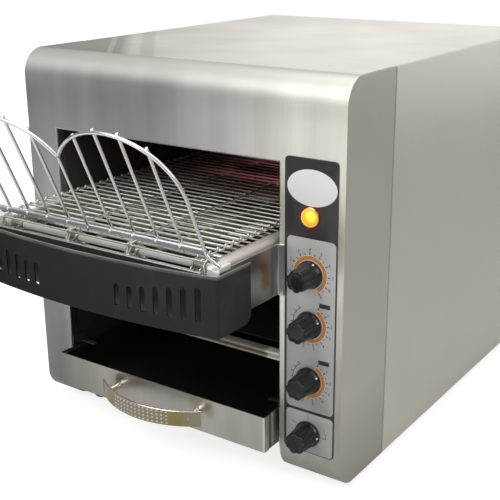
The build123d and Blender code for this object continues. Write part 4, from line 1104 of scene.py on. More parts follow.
class TOASTER_OT_front_shell(bpy.types.Operator):
    """Front shell: face, two bends and two side leaves, and an opening without a sill under the drawer.

    The profile (y, z) is swept straight across x, with closer rows beside the opening. The flange turns
    in by a quarter round, reach = r (1 - sin t) and depth = r (1 - cos t), and then runs straight back.
    """

    bl_idname = "toaster.front_shell"
    bl_label = "Front shell"

    def execute(self, context):
        sizes = context.scene.toaster_sizes
        fold = 1.6
        low = low_bend()
        high = low[::-1] * (1, -1) + (0, BODY_H)
        face_z = spread((BEND_R, 1), (OPEN_Z0, 14), (OPEN_Z1 + fold, 4), (BODY_H - BEND_R, 1))
        face = np.stack((np.zeros_like(face_z), face_z), -1)
        run = np.concatenate(([(SEAM_Y, 0.0)], low[:-1], face, high[1:], [(SEAM_Y, BODY_H)]))
        xs = spread((-BODY_HALF, 3), (OPEN_X0 - fold, 12), (OPEN_X1 + fold, 4), (BODY_HALF, 1))
        points = np.stack(
            (
                np.repeat(xs[:, None], len(run), 1),
                np.repeat(run[None, :, 0], len(xs), 0),
                np.repeat(run[None, :, 1], len(xs), 0),
            ),
            -1,
        )
        mid_x = (xs[:-1] + xs[1:]) / 2
        mid_z = (run[:-1, 1] + run[1:, 1]) / 2
        inside = (mid_x[:, None] > OPEN_X0 - fold) & (mid_x[:, None] < OPEN_X1 + fold) & (
            mid_z[None] < OPEN_Z1 + fold
        )
        shell = Surface().grid(points, keep=~inside)
        share = (face_z - BEND_R) / (BODY_H - 2 * BEND_R)
        leaf = np.concatenate((low[::-1], [(SEAM_Y, 0.0)]))
        leaf_z = leaf[:, 1:] + (BODY_H - 2 * leaf[:, 1:]) * share[None]
        leaf_y = np.repeat(leaf[:, :1], len(share), 1)
        right = np.stack((np.full_like(leaf_y, BODY_HALF), leaf_y, leaf_z), -1)
        shell.grid(right)
        shell.grid((right * (-1, 1, 1))[::-1])
        t = np.linspace(0, math.pi / 2, 5)
        reach = np.concatenate((fold * (1 - np.sin(t)), [0.0]))
        depth = np.concatenate((fold * (1 - np.cos(t)), [FLANGE_D]))
        flange = [
            [
                (OPEN_X0 - o, y, OPEN_Z0), (OPEN_X0 - o, y, OPEN_Z1 + o), (OPEN_X1 + o, y, OPEN_Z1 + o),
                (OPEN_X1 + o, y, OPEN_Z0),
            ]
            for o, y in zip(reach, depth)
        ]
        shell.grid(np.array(flange))
        made = piece(
            shell, "front_shell_sheet", "housing", finish("face"),
            outwards=False, thickness=SHEET, bevel=sizes.edge_round,
        )
        # The sheet's side leaves and top take the wrap colour, the painted lit copy of the face's
        # steel.
        made.data.materials.append(finish("wrap"))
        assign_by_place(
            made, lambda c: (np.abs(c[:, 0]) > BODY_HALF - 0.5) | (c[:, 2] > BODY_H - 0.1), 1
        )
        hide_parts("front_shell")
        return {"FINISHED"}


def assign_by_place(made, test, index):
    """Gives the faces whose centres pass the test another material slot."""
    count = len(made.data.polygons)
    centre = np.zeros(count * 3)
    made.data.polygons.foreach_get("center", centre)
    centre = (centre.reshape(-1, 3) - (0.0, FACE_Y, BASE_Z)) / MM
    slots = np.zeros(count, np.int32)
    made.data.polygons.foreach_get("material_index", slots)
    slots[test(centre)] = index
    made.data.polygons.foreach_set("material_index", slots)


class TOASTER_OT_rear_wrap(bpy.types.Operator):
    """Rear wrap: one sheet over both sides and the top, with tight bends, behind the open seam."""

    bl_idname = "toaster.rear_wrap"
    bl_label = "Rear wrap"

    def execute(self, context):
        corners = [(-BODY_HALF, 0.0), (-BODY_HALF, BODY_H), (BODY_HALF, BODY_H), (BODY_HALF, 0.0)]
        path = rounded(corners, 1.6, 5)
        levels = spread((SEAM_Y + SEAM_GAP, 6), (BODY_D, 1))
        wrap = Surface().grid(sheet_along(path, levels, "xz"))
        made = piece(
            wrap, "rear_wrap_sheet", "housing", finish("wrap"),
            outwards=False, thickness=SHEET, bevel=context.scene.toaster_sizes.edge_round,
        )
        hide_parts("side_panel_left", "side_panel_right", "top_panel")
        return {"FINISHED"}


# ---------------------------------------------------------------- feed unit
class TOASTER_OT_feed_plates(bpy.types.Operator):
    """Side plates of the feed unit, each folded into a flange on the face."""

    bl_idname = "toaster.feed_plates"
    bl_label = "Feed plates"

    def execute(self, context):
        x, flange, bend, foot, top = MID + 131.5, 6.0, 1.6, 178.4, 225.7
        path = rounded([(x, UNIT_FRONT), (x, -SHEET), (x + flange, -SHEET)], bend, 5)
        right = Surface().grid(sheet_along(path, spread((foot, 6), (top, 1)), "xy"))
        for side in ("right", "left"):
            plate = right if side == "right" else flipped(right)
            made = piece(
                plate, "feed_side_" + side, "housing", finish("plate"),
                outwards=False, thickness=SHEET, bevel=0.3,
            )
            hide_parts("feed_plate_" + side)
        return {"FINISHED"}


def flipped(surface):
    """The same surface on the other side of the conveyor's centre plane, right side out."""
    other = Surface()
    other.points = [points * (-1, 1, 1) + (2 * MID, 0, 0) for points in surface.points]
    other.faces = [faces[:, ::-1] for faces in surface.faces]
    other.slots = list(surface.slots)
    other.count = surface.count
    return other


class TOASTER_OT_rails(bpy.types.Operator):
    """Conveyor rails: channels open outwards with rolled upper edges."""

    bl_idname = "toaster.rails"
    bl_label = "Conveyor rails"

    def execute(self, context):
        out, inner, foot, top, bend, roll_r = MID + 126.0, MID + 115.0, 216.5, 229.0, 2.0, 4.6
        channel = rounded([(out, foot), (inner, foot), (inner, top), (out - 6.0, top)], bend, 6)
        t = np.linspace(0, math.pi / 2, 9)
        roll = np.stack((out - roll_r + roll_r * np.sin(t), top - roll_r + roll_r * np.cos(t)), -1)
        path = np.concatenate((channel, roll, [(out, 221.8)]))
        front_block, rear_block = 9.0, 16.0
        levels = spread((FRONT_SHAFT_Y + front_block, 8), (REAR_SHAFT_Y - rear_block, 1))
        right = Surface().grid(sheet_along(path, levels, "xz"))
        for side in ("right", "left"):
            made = piece(
                right if side == "right" else flipped(right), "rail_channel_" + side, "housing",
                finish("rail"), outwards=False, thickness=1.4, bevel=0.3,
            )
            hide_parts("conveyor_rail_" + side)
        return {"FINISHED"}


class TOASTER_OT_corner_blocks(bpy.types.Operator):
    """Bright front bearings with a rounded nose, a collar round the rack's leg and a socket screw."""

    bl_idname = "toaster.corner_blocks"
    bl_label = "Corner blocks"

    def execute(self, context):
        y0, y1, z0, z1, bend = UNIT_FRONT, -71.0, 206.0, 231.0, 3.0
        inner, outer, edge = MID + 124.6, MID + 130.3, 0.8
        screw_at = (MID + RACK_HALF, 0.0, 214.0)
        right = Surface()

        def outline(inset):
            flat = round_rectangle(y1 - y0 - 2 * inset, z1 - z0 - 2 * inset, bend - inset, 5)
            return flat + ((y0 + y1) / 2, (z0 + z1) / 2)

        def place(points, level):
            return np.stack((np.full(len(points), level), points[:, 0], points[:, 1]), -1)

        right.grid(slab(outline, inner, outer, edge, place), around=True)
        screw = [
            (0.0, y0 - 0.9), (1.5, y0 - 0.9), (1.5, y0 - 1.3), (2.6, y0 - 1.2), (3.0, y0 - 0.7),
            (3.0, y0), (0.0, y0),
        ]
        right.grid(lathe(screw, screw_at, "y", 24), around=True)
        for u0, u1, front, back, low, high in (
            (126.0, 136.0, -92.0, -76.0, 226.2, 231.2), (132.0, 138.8, -98.0, -94.7, 220.0, 230.2)
        ):
            def clip(inset):
                flat = round_rectangle(
                    u1 - u0 - 2 * inset, back - front - 2 * inset, 1.2 - inset * 0.5, 4
                )
                return flat + (MID + (u0 + u1) / 2, (front + back) / 2)

            right.grid(slab(clip, low, high, 0.6, level_plan), around=True)
        for side in ("right", "left"):
            made = piece(
                right if side == "right" else flipped(right), "corner_bearing_" + side, "housing",
                finish("casting"),
            )
            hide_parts("corner_block_" + side)
        return {"FINISHED"}


def guard_depth(u):
    """y of the guard's front at u from the centre plane: nose + bow (u / half width)^2."""
    return GUARD_NOSE + GUARD_BOW * (np.asarray(u) / GUARD_HALF) ** 2


class TOASTER_OT_guard(bpy.types.Operator):
    """Bowed black guard: centre, two rows of slotted cells, rounded corners and side wings."""

    bl_idname = "toaster.guard"
    bl_label = "Front guard"

    def execute(self, context):
        z0, z1, side_steps, cap_steps = 176.0, 228.6, 18, 8
        slots, first_slot, bend = 7, 47.5, 3.0
        inner_edge = first_slot - SLOT_PITCH / 2
        outer_edge = inner_edge + slots * SLOT_PITCH
        zs = np.linspace(z0, z1, side_steps + 1)
        guard = Surface()

        def front(u, z):
            return np.stack((MID + u, guard_depth(u), z), -1)

        us = np.linspace(-inner_edge, inner_edge, 25)
        guard.grid(front(*np.broadcast_arrays(us[:, None], zs[None])))
        right = Surface()
        for k in range(slots):
            centre = first_slot + SLOT_PITCH * k
            length = 20.0 + 10.0 * max(0, k - 1) / 5
            right.grid(front_ring(centre, length, z0, z1, side_steps, cap_steps, front), around=True)
        t = np.linspace(0, math.pi / 2, 7)
        turn_u = GUARD_HALF - bend
        turn_y = guard_depth(turn_u)
        turn = np.stack((turn_u + bend * np.sin(t), turn_y + bend * (1 - np.cos(t))), -1)
        edge_u = np.linspace(outer_edge, turn_u, 3)[:-1]
        lead = np.stack((edge_u, guard_depth(edge_u)), -1)
        cut_y, wing_end = -66.0, -60.0
        wing_y = spread((turn[-1, 1], 4), (cut_y, 3), (wing_end, 1))[1:]
        wing = np.stack((np.full_like(wing_y, GUARD_HALF), wing_y), -1)
        path = np.concatenate((lead, turn, wing))
        lift = np.clip(path[:, 1] - cut_y, 0.0, wing_end - cut_y)
        foot = z0 + np.where(path[:, 0] > GUARD_HALF - 0.1, lift, 0.0)
        z = foot[:, None] + (zs[None] - z0) / (z1 - z0) * (z1 - foot[:, None])
        right.grid(np.stack((MID + path[:, :1] + 0 * z, path[:, 1:] + 0 * z, z), -1))
        right.mirrored()
        guard.points += right.points
        guard.faces += [faces + guard.count for faces in right.faces]
        guard.slots += right.slots
        guard.count += right.count
        made = piece(
            guard, "guard_shell", "housing", finish("guard"),
            outwards=False, thickness=1.5, bevel=0.45,
        )
        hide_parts("fascia")
        self.worn_edge(np.concatenate((turn, wing)), z1)
        return {"FINISHED"}

    def worn_edge(self, side, level):
        """A roll along the guard's top edge in lighter grey, a painted highlight: inset w (1 - cos t),
        height 0.9 sin t."""
        bow_end = GUARD_HALF - 4.0
        us = np.linspace(-bow_end, bow_end, 57)
        front = np.stack((us, guard_depth(us)), -1)
        path = np.concatenate((side[::-1] * (-1, 1), front, side))
        ahead = unit(np.gradient(path, axis=0))
        inward = np.stack((-ahead[:, 1], ahead[:, 0]), -1)
        t = np.linspace(0, math.pi, 11)
        width = np.interp(path[:, 1], (-104.0, -92.0), (1.3, 0.72))
        across = 0.02 + width[:, None] * (1 - np.cos(t))[None]
        flat = path[:, None] + inward[:, None] * across[..., None]
        z = level - 0.85 + 0.9 * np.sin(t)[None] + 0 * flat[..., 0]
        roll = Surface().grid(np.stack((MID + flat[..., 0], flat[..., 1], z), -1), around=True)
        piece(roll, "guard_painted_highlight", "housing", finish("guard_highlight"), outwards=True)


def front_ring(centre, length, z0, z1, side_steps, cap_steps, place):
    """One cell of the guard: rings that run from the slot's outline to the cell's rectangle,
    P = slot + (rectangle - slot) s, both traced clockwise from their lower left."""
    half, radius, foot = SLOT_PITCH / 2, 2.6, 187.5
    low, high = foot + radius, foot + length - radius
    rise = np.linspace(0, 1, side_steps, endpoint=False)
    over = np.linspace(0, math.pi, cap_steps, endpoint=False)
    slot_u = np.concatenate(
        (0 * rise - radius, -radius * np.cos(over), 0 * rise + radius, radius * np.cos(over))
    )
    slot_z = np.concatenate(
        (
            low + (high - low) * rise, high + radius * np.sin(over), high - (high - low) * rise,
            low - radius * np.sin(over),
        )
    )
    level = np.linspace(z0, z1, side_steps + 1)
    across = np.linspace(-half, half, cap_steps, endpoint=False)
    cell_u = np.concatenate((0 * rise - half, across, 0 * rise + half, -across))
    cell_z = np.concatenate((level[:-1], 0 * across + z1, level[::-1][:-1], 0 * across + z0))
    s = np.array((0.0, 0.12, 0.45, 1.0))[::-1, None]
    u = centre + slot_u[None] + (cell_u - slot_u)[None] * s
    z = slot_z[None] + (cell_z - slot_z)[None] * s
    return place(u, z)


class TOASTER_OT_front_lip(bpy.types.Operator):
    """Dark front cross member with its hem rolled over the top."""

    bl_idname = "toaster.front_lip"
    bl_label = "Front lip"

    def execute(self, context):
        t = np.linspace(math.pi, -0.35 * math.pi, 9)
        hem_r, hem_y, hem_z, foot, half = 1.2, -94.9, 224.1, 178.4, 119.5
        hem = np.stack((hem_y + hem_r * np.cos(t), hem_z + hem_r * np.sin(t)), -1)
        path = np.concatenate(([(hem_y - hem_r, foot)], hem))
        levels = MID + spread((-half, 10), (half, 1))
        grid = sheet_along(path, levels, "yz")
        lip = Surface().grid(grid[:, ::-1])
        # Painted shade: the lip's face is near black; its hem is bare steel.
        looks = (finish("dark"), finish("hem"))
        made = piece(
            lip, "front_lip_hemmed", "housing", looks, outwards=False, thickness=0.6,
            bevel=0.15,
        )
        assign_by_place(made, lambda centre: centre[:, 2] > hem_z - 1.5, 1)
        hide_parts("front_lip")
        return {"FINISHED"}


# ---------------------------------------------------------------- belt and shafts
def strand_path():
    """Centre line of one belt wire as (across, forward, outward): straight runs, two narrow loops that
    pass under the next wire, and two end loops that close round the next wire."""
    half, reach = 119.1, 1.95
    turn = np.linspace(-0.35 * math.pi, 1.05 * math.pi, 8)
    left = np.stack(
        (np.full_like(turn, -half + 2.6), PITCH + reach * np.cos(turn), 0.95 * reach * np.sin(turn)), -1
    )
    points = [(-half, 4.0, 0.0), (-half, 0.0, 0.0)]
    for u in (HOOK_MID - HOOK_X, HOOK_MID + HOOK_X):
        points += [
            (u - 1.1, 0.0, 0.0), (u - 1.1, 4.0, -0.3), (u - 2.0, PITCH - 1.5, -1.9),
            (u - 2.0, PITCH + 1.6, -1.9),
        ]
        points += [
            (u + 2.0, PITCH + 1.6, -1.9), (u + 2.0, PITCH - 1.5, -1.9), (u + 1.1, 4.0, -0.3),
            (u + 1.1, 0.0, 0.0),
        ]
    points += [(half, 0.0, 0.0), (half, 4.0, 0.0)]
    middle = rounded(points, 1.2, 4)
    right = left[::-1] * (-1, 1, 1)
    return np.concatenate((left, middle, right))


def belt_seats():
    """Places (y, z) of all wires round the two shafts, with the forward and outward directions of each.
    On a shaft a wire stands at ring (sin a, cos a), with a = phase + 60 degrees per wire."""
    ring = PITCH / (2 * math.sin(math.pi / TEETH))
    run = np.arange(RUN_STEPS + 1) * PITCH
    turn = np.arange(1, TEETH // 2) * 2 * math.pi / TEETH - BELT_PHASE
    slip, drop = ring * math.sin(BELT_PHASE), ring * math.cos(BELT_PHASE)
    top = np.stack((FRONT_SHAFT_Y - slip + run, np.full_like(run, SHAFT_Z + drop)), -1)
    rear = np.stack((REAR_SHAFT_Y + ring * np.sin(turn), SHAFT_Z + ring * np.cos(turn)), -1)
    low = np.stack((REAR_SHAFT_Y + slip - run, np.full_like(run, SHAFT_Z - drop)), -1)
    front = np.stack((FRONT_SHAFT_Y - ring * np.sin(turn), SHAFT_Z - ring * np.cos(turn)), -1)
    seats = np.concatenate((top, rear, low, front))
    ahead = unit(np.roll(seats, -1, 0) - seats)
    outward = np.stack((-ahead[:, 1], ahead[:, 0]), -1)
    return seats, ahead, outward


class TOASTER_OT_belt(bpy.types.Operator):
    """Wire belt: round wires, each placed on its seat and hooked into the next."""

    bl_idname = "toaster.belt"
    bl_label = "Wire belt"

    def execute(self, context):
        radius = context.scene.toaster_sizes.wire_radius
        seats, ahead, outward = belt_seats()
        wire = tube(strand_path(), radius, (0.0, 0.0, 1.0), 7)
        y, z = seats.T[:, :, None, None]
        fy, fz = ahead.T[:, :, None, None]
        ny, nz = outward.T[:, :, None, None]
        a, f, n = wire[None, ..., 0], wire[None, ..., 1], wire[None, ..., 2]
        points = np.stack((MID + a + 0 * y, y + f * fy + n * ny, z + f * fz + n * nz), -1)
        rings = points.shape[1]
        flat = points.reshape(-1, points.shape[2], 3)
        keep = np.ones((len(flat) - 1, points.shape[2]), bool)
        keep[rings - 1 :: rings] = False
        belt = Surface().grid(flat, around=True, keep=keep)
        made = piece(
            belt, "wire_belt", "housing", finish("belt"), weld=0.0005, crease=60.0
        )
        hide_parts("belt")
        return {"FINISHED"}


def tooth_radius(radius, along, turn):
    """Radius round a toothed rim: six narrow teeth, radius + 2.5 t, where the profile is at rim
    height."""
    share = ((turn + BELT_PHASE) * TEETH / (2 * math.pi)) % 1.0
    tip = np.clip((0.17 - np.abs(share - 0.5)) / 0.10, 0.0, 1.0)
    return radius + np.where(radius > 5.8, 2.5 * tip, 0.0)


def shaft_surface(y, ends):
    """A shaft with spacer tubes and four sprockets, each a drum with two toothed rims."""
    shaft = Surface()
    centre = (0.0, y, SHAFT_Z)
    drums = [HOOK_MID + u for u in (-107.0, -HOOK_X, HOOK_X, 107.0)]
    stops = (-120.7, *drums, 120.7)
    for index, (a, b) in enumerate(zip(stops[:-1], stops[1:])):
        x0 = MID + (a + 6.3 if index else a)
        x1 = MID + (b - 6.3 if index < 4 else b)
        profile = [(0.0, x0), (2.9, x0), (3.3, x0 + 0.5), (3.3, x1 - 0.5), (2.9, x1), (0.0, x1)]
        shaft.grid(lathe(profile, centre, "x", 28), around=True, slot=0)
    for x in drums:
        step = (0.0, 4.9, 5.5, 5.6, 4.9, 4.9, 5.5, 5.5, 5.2, 4.4, 0.0)
        place = (-6.3, -6.3, -6.0, -4.4, -4.0, 0.2, 0.8, 4.6, 5.7, 6.3, 6.3)
        profile = np.stack((step, MID + x + np.array(place)), -1)
        shaft.grid(lathe(profile, centre, "x", 48), around=True, slot=1)
        for low, high in ((-5.1, -4.1), (4.1, 5.1)):
            rim = [
                (0.0, low), (5.6, low), (6.0, low + 0.2), (6.0, high - 0.2), (5.6, high), (0.0, high)
            ]
            profile = np.array(rim) + (0.0, MID + x)
            shaft.grid(lathe(profile, centre, "x", 96, tooth_radius), around=True, slot=2)
    for x0, x1 in ends:
        profile = [(0.0, x0), (2.7, x0), (3.0, x0 + 0.4), (3.0, x1 - 0.4), (2.7, x1), (0.0, x1)]
        shaft.grid(lathe(profile, centre, "x", 24), around=True, slot=2)
    return shaft


class TOASTER_OT_shafts(bpy.types.Operator):
    """Front and rear shafts of the conveyor."""

    bl_idname = "toaster.shafts"
    bl_label = "Conveyor shafts"

    def execute(self, context):
        looks = (finish("tube"), finish("sprocket"), finish("bright"))
        inner = 120.5
        idler = shaft_surface(FRONT_SHAFT_Y, ((MID - 129.0, MID - inner), (MID + inner, MID + 129.0)))
        made = piece(idler, "idler_shaft_set", "conveyor_idler", looks)
        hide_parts("idler_shaft")
        drive = shaft_surface(REAR_SHAFT_Y, ((MID - 132.9, MID - inner), (MID + inner, MID + 149.2)))
        made = piece(drive, "drive_shaft_set", "conveyor_drive", looks)
        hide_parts("drive_shaft")
        return {"FINISHED"}


# ---------------------------------------------------------------- loading rack
def rack_point(u, s, lift=0.0):
    """A point on the rack's sloping plane: u across, s up the slope, lift away from the user."""
    u, s, lift = np.broadcast_arrays(np.asarray(u, float), s, lift)
    y = RACK_FOOT[0] - s * math.sin(LEAN) + lift * math.cos(LEAN)
    z = RACK_FOOT[1] + s * math.cos(LEAN) + lift * math.sin(LEAN)
    return np.stack((MID + u, y, z), -1)


def arch_arcs():
    """Centre and radius of an arch's outer bend and of its long curve, both tangent where they meet."""
    turn_x, turn_rise, shoulder, valley = 22.0, 42.0, 50.0, 74.0
    radius1 = (turn_x ** 2 + turn_rise ** 2) / (2 * turn_x)
    centre1 = np.array((RACK_HALF - radius1, shoulder))
    end = np.array((RACK_HALF - turn_x, shoulder + turn_rise))
    way = (centre1 - end) / radius1
    to_valley = np.array((0.0, valley)) - end
    radius2 = to_valley @ to_valley / (2 * to_valley @ way)
    return centre1, radius1, end + way * radius2, radius2, end


def arch_height(u):
    centre1, radius1, centre2, radius2, end = arch_arcs()
    u = np.abs(np.asarray(u, float))
    outer = centre1[1] + np.sqrt(np.maximum(0.0, radius1 ** 2 - (u - centre1[0]) ** 2))
    curve = centre2[1] + np.sqrt(np.maximum(0.0, radius2 ** 2 - (u - centre2[0]) ** 2))
    return np.where(u > end[0], outer, curve)


def arc_between(centre, radius, start, stop, steps):
    a = math.atan2(start[1] - centre[1], start[0] - centre[0])
    b = math.atan2(stop[1] - centre[1], stop[0] - centre[0])
    t = np.linspace(a, b, steps)
    return np.stack((centre[0] + radius * np.cos(t), centre[1] + radius * np.sin(t)), -1)


class TOASTER_OT_rack(bpy.types.Operator):
    """Loading rack: two bent arches, upright wires welded behind them and a flat bar along the foot."""

    bl_idname = "toaster.rack"
    bl_label = "Loading rack"

    def execute(self, context):
        sizes = context.scene.toaster_sizes
        frame_r, wire_r = sizes.rack_frame, sizes.rack_wire
        normal = (0.0, math.cos(LEAN), math.sin(LEAN))
        centre1, radius1, centre2, radius2, end = arch_arcs()
        leg_top, meeting = 50.0, (0.35, 74.2)
        leg = np.stack((np.full(5, RACK_HALF), np.linspace(4.0, leg_top, 5)), -1)[:-1]
        bend = arc_between(centre1, radius1, (RACK_HALF, leg_top), end, 14)[:-1]
        curve = arc_between(centre2, radius2, end, meeting, 34)
        path = np.concatenate((leg, bend, curve))
        rack = Surface()
        for side in (-1, 1):
            arch = rack_point(side * path[:, 0], path[:, 1])
            foot = np.array([(side * 138.4, -94.0, 233.0), (side * 128.6, -96.6, 239.6)])
            foot = foot + (MID, 0.0, 0.0)
            arch = np.concatenate((rounded(np.concatenate((foot, arch[:2])), 4.0, 6)[:-1], arch[1:]))
            rack.grid(tube(arch, frame_r, normal, 16), around=True)
        overlap = 0.2
        lift = frame_r + wire_r - overlap
        for index in range(-4, 5):
            u = index * RACK_HALF / 5
            top = 76.0 if index == 0 else float(arch_height(u)) + 2.0
            back = 0.0 if index == 0 else lift
            s = np.array((2.4, 4.0, (4.0 + top) / 2, top - 1.0, top))
            upright = rack_point(u, s, back)
            foot = upright[:1] - (0.0, 0.0, 4.8)
            path = rounded(np.concatenate((foot, upright)), 1.2, 4)
            rack.grid(tube(path, wire_r, (1.0, 0.0, 0.0), 14), around=True)
        t = np.linspace(0, math.pi, 9)[:, None]
        turn = np.linspace(0, 2 * math.pi, 12, endpoint=False)[None]
        ball = np.stack((np.sin(t) * np.cos(turn), np.sin(t) * np.sin(turn), np.cos(t) + 0 * turn), -1)
        for index in (-4, -3, -2, -1, 1, 2, 3, 4):
            u = index * RACK_HALF / 5
            for s, back in ((1.6, -0.5), (float(arch_height(u)), lift / 2 + overlap)):
                rack.grid(rack_point(u, s, back) + ball * (1.9, 1.5, 1.9), around=True)
        half, bar_high, bar_thick = RACK_HALF - frame_r + overlap, 6.0, 2.0

        def outline(inset):
            return round_rectangle(2 * half - 2 * inset, bar_high - 2 * inset, 0.9 - inset * 0.5, 4)

        def place(points, level):
            return rack_point(points[:, 0], points[:, 1], level)

        bar_back = lift - wire_r + overlap
        rack.grid(slab(outline, bar_back - bar_thick, bar_back, 0.5, place), around=True, slot=1)
        looks = (finish("rack"), finish("rack_bar"))
        made = piece(rack, "loading_rack_wires", "rack", looks, weld=0.0008, crease=50.0)
        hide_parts("loading_rack")
        return {"FINISHED"}


# ---------------------------------------------------------------- drawer
class TOASTER_OT_drawer(bpy.types.Operator):
    """Drawer front with returned edges."""

    bl_idname = "toaster.drawer"
    bl_label = "Drawer front"

    def execute(self, context):
        half, joggle, face, bend, foot, top = 129.7, 1.0, -20.0, 1.3, 28.0, 63.7
        back = half - joggle
        edge = np.array([(back, 6.0), (back, -11.2), (half, -12.4), (half, face)])
        corners = np.concatenate((edge * (-1, 1), edge[::-1])) + (MID, 0.0)
        path = rounded(corners, bend, 5)
        extra = np.linspace(MID - half + 4, MID + half - 4, 9)
        path = np.concatenate((path[:16], np.stack((extra, np.full(9, face)), -1), path[16:]))
        front = Surface().grid(sheet_along(path, spread((foot, 4), (top, 1)), "xy"))
        made = piece(
            front, "drawer_front_sheet", "drawer", finish("drawer"),
            outwards=False, thickness=SHEET, bevel=0.35,
        )
        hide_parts("drawer_front")
        return {"FINISHED"}


class TOASTER_OT_drawer_pan(bpy.types.Operator):
    """Drawer pan: one folded tray, black enamel inside and bare steel on its outer sides."""

    bl_idname = "toaster.drawer_pan"
    bl_label = "Drawer pan"

    def execute(self, context):
        half, y0, y1, z0, z1 = 127.0, -18.7, 331.2, 30.0, 62.0
        floor = np.array([(MID - half, y0), (MID + half, y0), (MID + half, y1), (MID - half, y1)])
        inset = np.array(((1, 1), (-1, 1), (-1, -1), (1, -1)), float)
        levels = ((30.0, z0), (1.6, z0), (0.5, z0 + 0.4), (0.0, z0 + 1.6), (0.0, z1))
        rings = np.array([np.column_stack((floor + inset * i, np.full(4, z))) for i, z in levels])
        middle = np.repeat(rings[:1].mean(1, keepdims=True), 4, 1)
        pan = Surface().grid(np.concatenate((middle, rings))[:, ::-1], around=True)
        made = piece(
            pan, "drawer_pan_tray", "drawer", (finish("pan_side"), finish("enamel")),
            outwards=False, thickness=0.8, bevel=0.2,
        )
        made.modifiers["wall"].material_offset = 1
        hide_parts("drawer_pan")
        return {"FINISHED"}


class TOASTER_OT_drawer_tabs(bpy.types.Operator):
    """Hold-down tabs over the drawer's sides: folded strips on the opening's flanges."""

    bl_idname = "toaster.drawer_tabs"
    bl_label = "Drawer tabs"

    def execute(self, context):
        edge, long, low, top, bend = MID + 132.0, 20.0, 64.2, 74.2, 1.5
        front, step, back = 1.4, 12.2, 18.0
        path = rounded([(edge - long, low), (edge, low), (edge, top)], bend, 5)
        root = np.array([(edge, 64.9), (edge, top)])
        tabs = Surface().grid(sheet_along(path, np.linspace(step, back, 4), "xz")[:, ::-1])
        tabs.grid(sheet_along(root, np.linspace(front, step, 3), "xz")[:, ::-1])
        tabs.mirrored()
        # Soot-dark steel, also painted shade on the tabs.
        made = piece(
            tabs, "drawer_tabs_folded", "housing", finish("soot_and_shade"), outwards=False,
            thickness=1.1, bevel=0.2
        )
        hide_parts("drawer_tabs")
        return {"FINISHED"}


class TOASTER_OT_cross_rail(bpy.types.Operator):
    """Cross rail under the feed: folded sheet with two rolled beads and a groove between them."""

    bl_idname = "toaster.cross_rail"
    bl_label = "Cross rail"

    def execute(self, context):
        t = np.linspace(-math.pi / 2, math.pi / 2, 7)
        bead_out, bead_up, back, groove = 1.7, 1.5, 9.4, 4.6
        low = np.stack((3.2 - bead_out * np.cos(t), 114.0 + bead_up * np.sin(t)), -1)
        high = np.stack((2.0 - bead_out * np.cos(t), 119.4 + bead_up * np.sin(t)), -1)
        middle = [(groove, 116.0), (groove, 117.4)]
        path = np.concatenate(([(back, 112.1)], low, middle, high, [(back, 120.9)]))
        levels = np.linspace(OPEN_X0, OPEN_X1, 14)
        rail = Surface().grid(sheet_along(path, levels, "yz")[:, ::-1])
        made = piece(
            rail, "cross_rail_beaded", "housing", finish("rail"), outwards=False,
            thickness=0.8, bevel=0.2
        )
        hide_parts("cross_rail")
        return {"FINISHED"}


class TOASTER_OT_handle(bpy.types.Operator):
    """Bowed strap handle with four rows of grip dots, on two posts."""

    bl_idname = "toaster.handle"
    bl_label = "Drawer handle"

    def execute(self, context):
        raise_by = context.scene.toaster_sizes.dimple_height
        half, bow, nose, height, thick, z_mid = 63.2, 22.5, -51.5, 16.5, 2.4, 47.5
        post_u, seat, dots_shift = 49.5, -20.05, 1.6
        edge = thick / 2
        flat = height / 2 - edge
        middle = MID + HANDLE_MID
        radius = (half ** 2 + bow ** 2) / (2 * bow)
        limit = math.asin((half - 0.8) / radius)
        angle = np.linspace(-limit, limit, 340)
        face_z = np.linspace(-flat, flat, 56)
        t = np.linspace(0, math.pi, 9)[1:-1]
        around = np.concatenate(
            (
                np.stack((np.zeros_like(face_z), face_z), -1),
                np.stack((edge - edge * np.cos(t), flat + edge * np.sin(t)), -1),
                np.stack((np.full(8, thick), np.linspace(flat, -flat, 8)), -1),
                np.stack((edge + edge * np.cos(t), -flat - edge * np.sin(t)), -1),
            )
        )
        u = radius * angle[:, None]
        pitch_u, pitch_z = 4.95, 3.8
        near_u = (u - dots_shift) % pitch_u - pitch_u / 2
        near_z = around[None, :, 1] % pitch_z - pitch_z / 2
        dot = np.clip(1 - (near_u ** 2 + near_z ** 2) / 1.05 ** 2, 0, 1) ** 0.8
        dot = dot * (np.abs(u - dots_shift) < 7 * pitch_u) * (np.abs(around[None, :, 1]) < 2 * pitch_z)
        dot = dot * (around[None, :, 0] < 0.01)
        reach = radius - around[None, :, 0] + raise_by * dot
        x = middle + reach * np.sin(angle)[:, None]
        y = nose + radius - reach * np.cos(angle)[:, None]
        z = z_mid + around[None, :, 1] + 0 * u
        strap = np.stack((x, y, z), -1)
        ends = [np.repeat(strap[i].mean(0)[None], strap.shape[1], 0)[None] for i in (0, -1)]
        handle = Surface().grid(np.concatenate((ends[0], strap, ends[1])), around=True)
        # Painted highlights: the grip dots, the top edge and the ends take the brighter nickel.
        bright = np.zeros((len(angle) + 1, len(around)), bool)
        bright[1:-1] = dot[:-1] > 0.12
        bright[:, 56:62] = True
        bright[[0, -1]] = True
        handle.slots[0] = bright.ravel().astype(int)
        for side in (-1, 1):
            reach_y = nose + radius - math.sqrt(radius ** 2 - post_u ** 2) + 1.6
            post = [
                (0.0, reach_y), (3.4, reach_y), (3.4, -33.0), (3.1, -28.0), (2.9, -23.5), (3.0, -21.6),
                (3.5, -20.6), (3.5, seat), (0.0, seat),
            ]
            handle.grid(lathe(post, (middle + side * post_u, 0.0, z_mid), "y", 32), around=True, slot=1)
        looks = (finish("handle"), finish("nickel_posts_and_highlights"))
        made = piece(handle, "strap_handle", "drawer", looks, crease=45.0)
        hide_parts("drawer_handle")
        return {"FINISHED"}


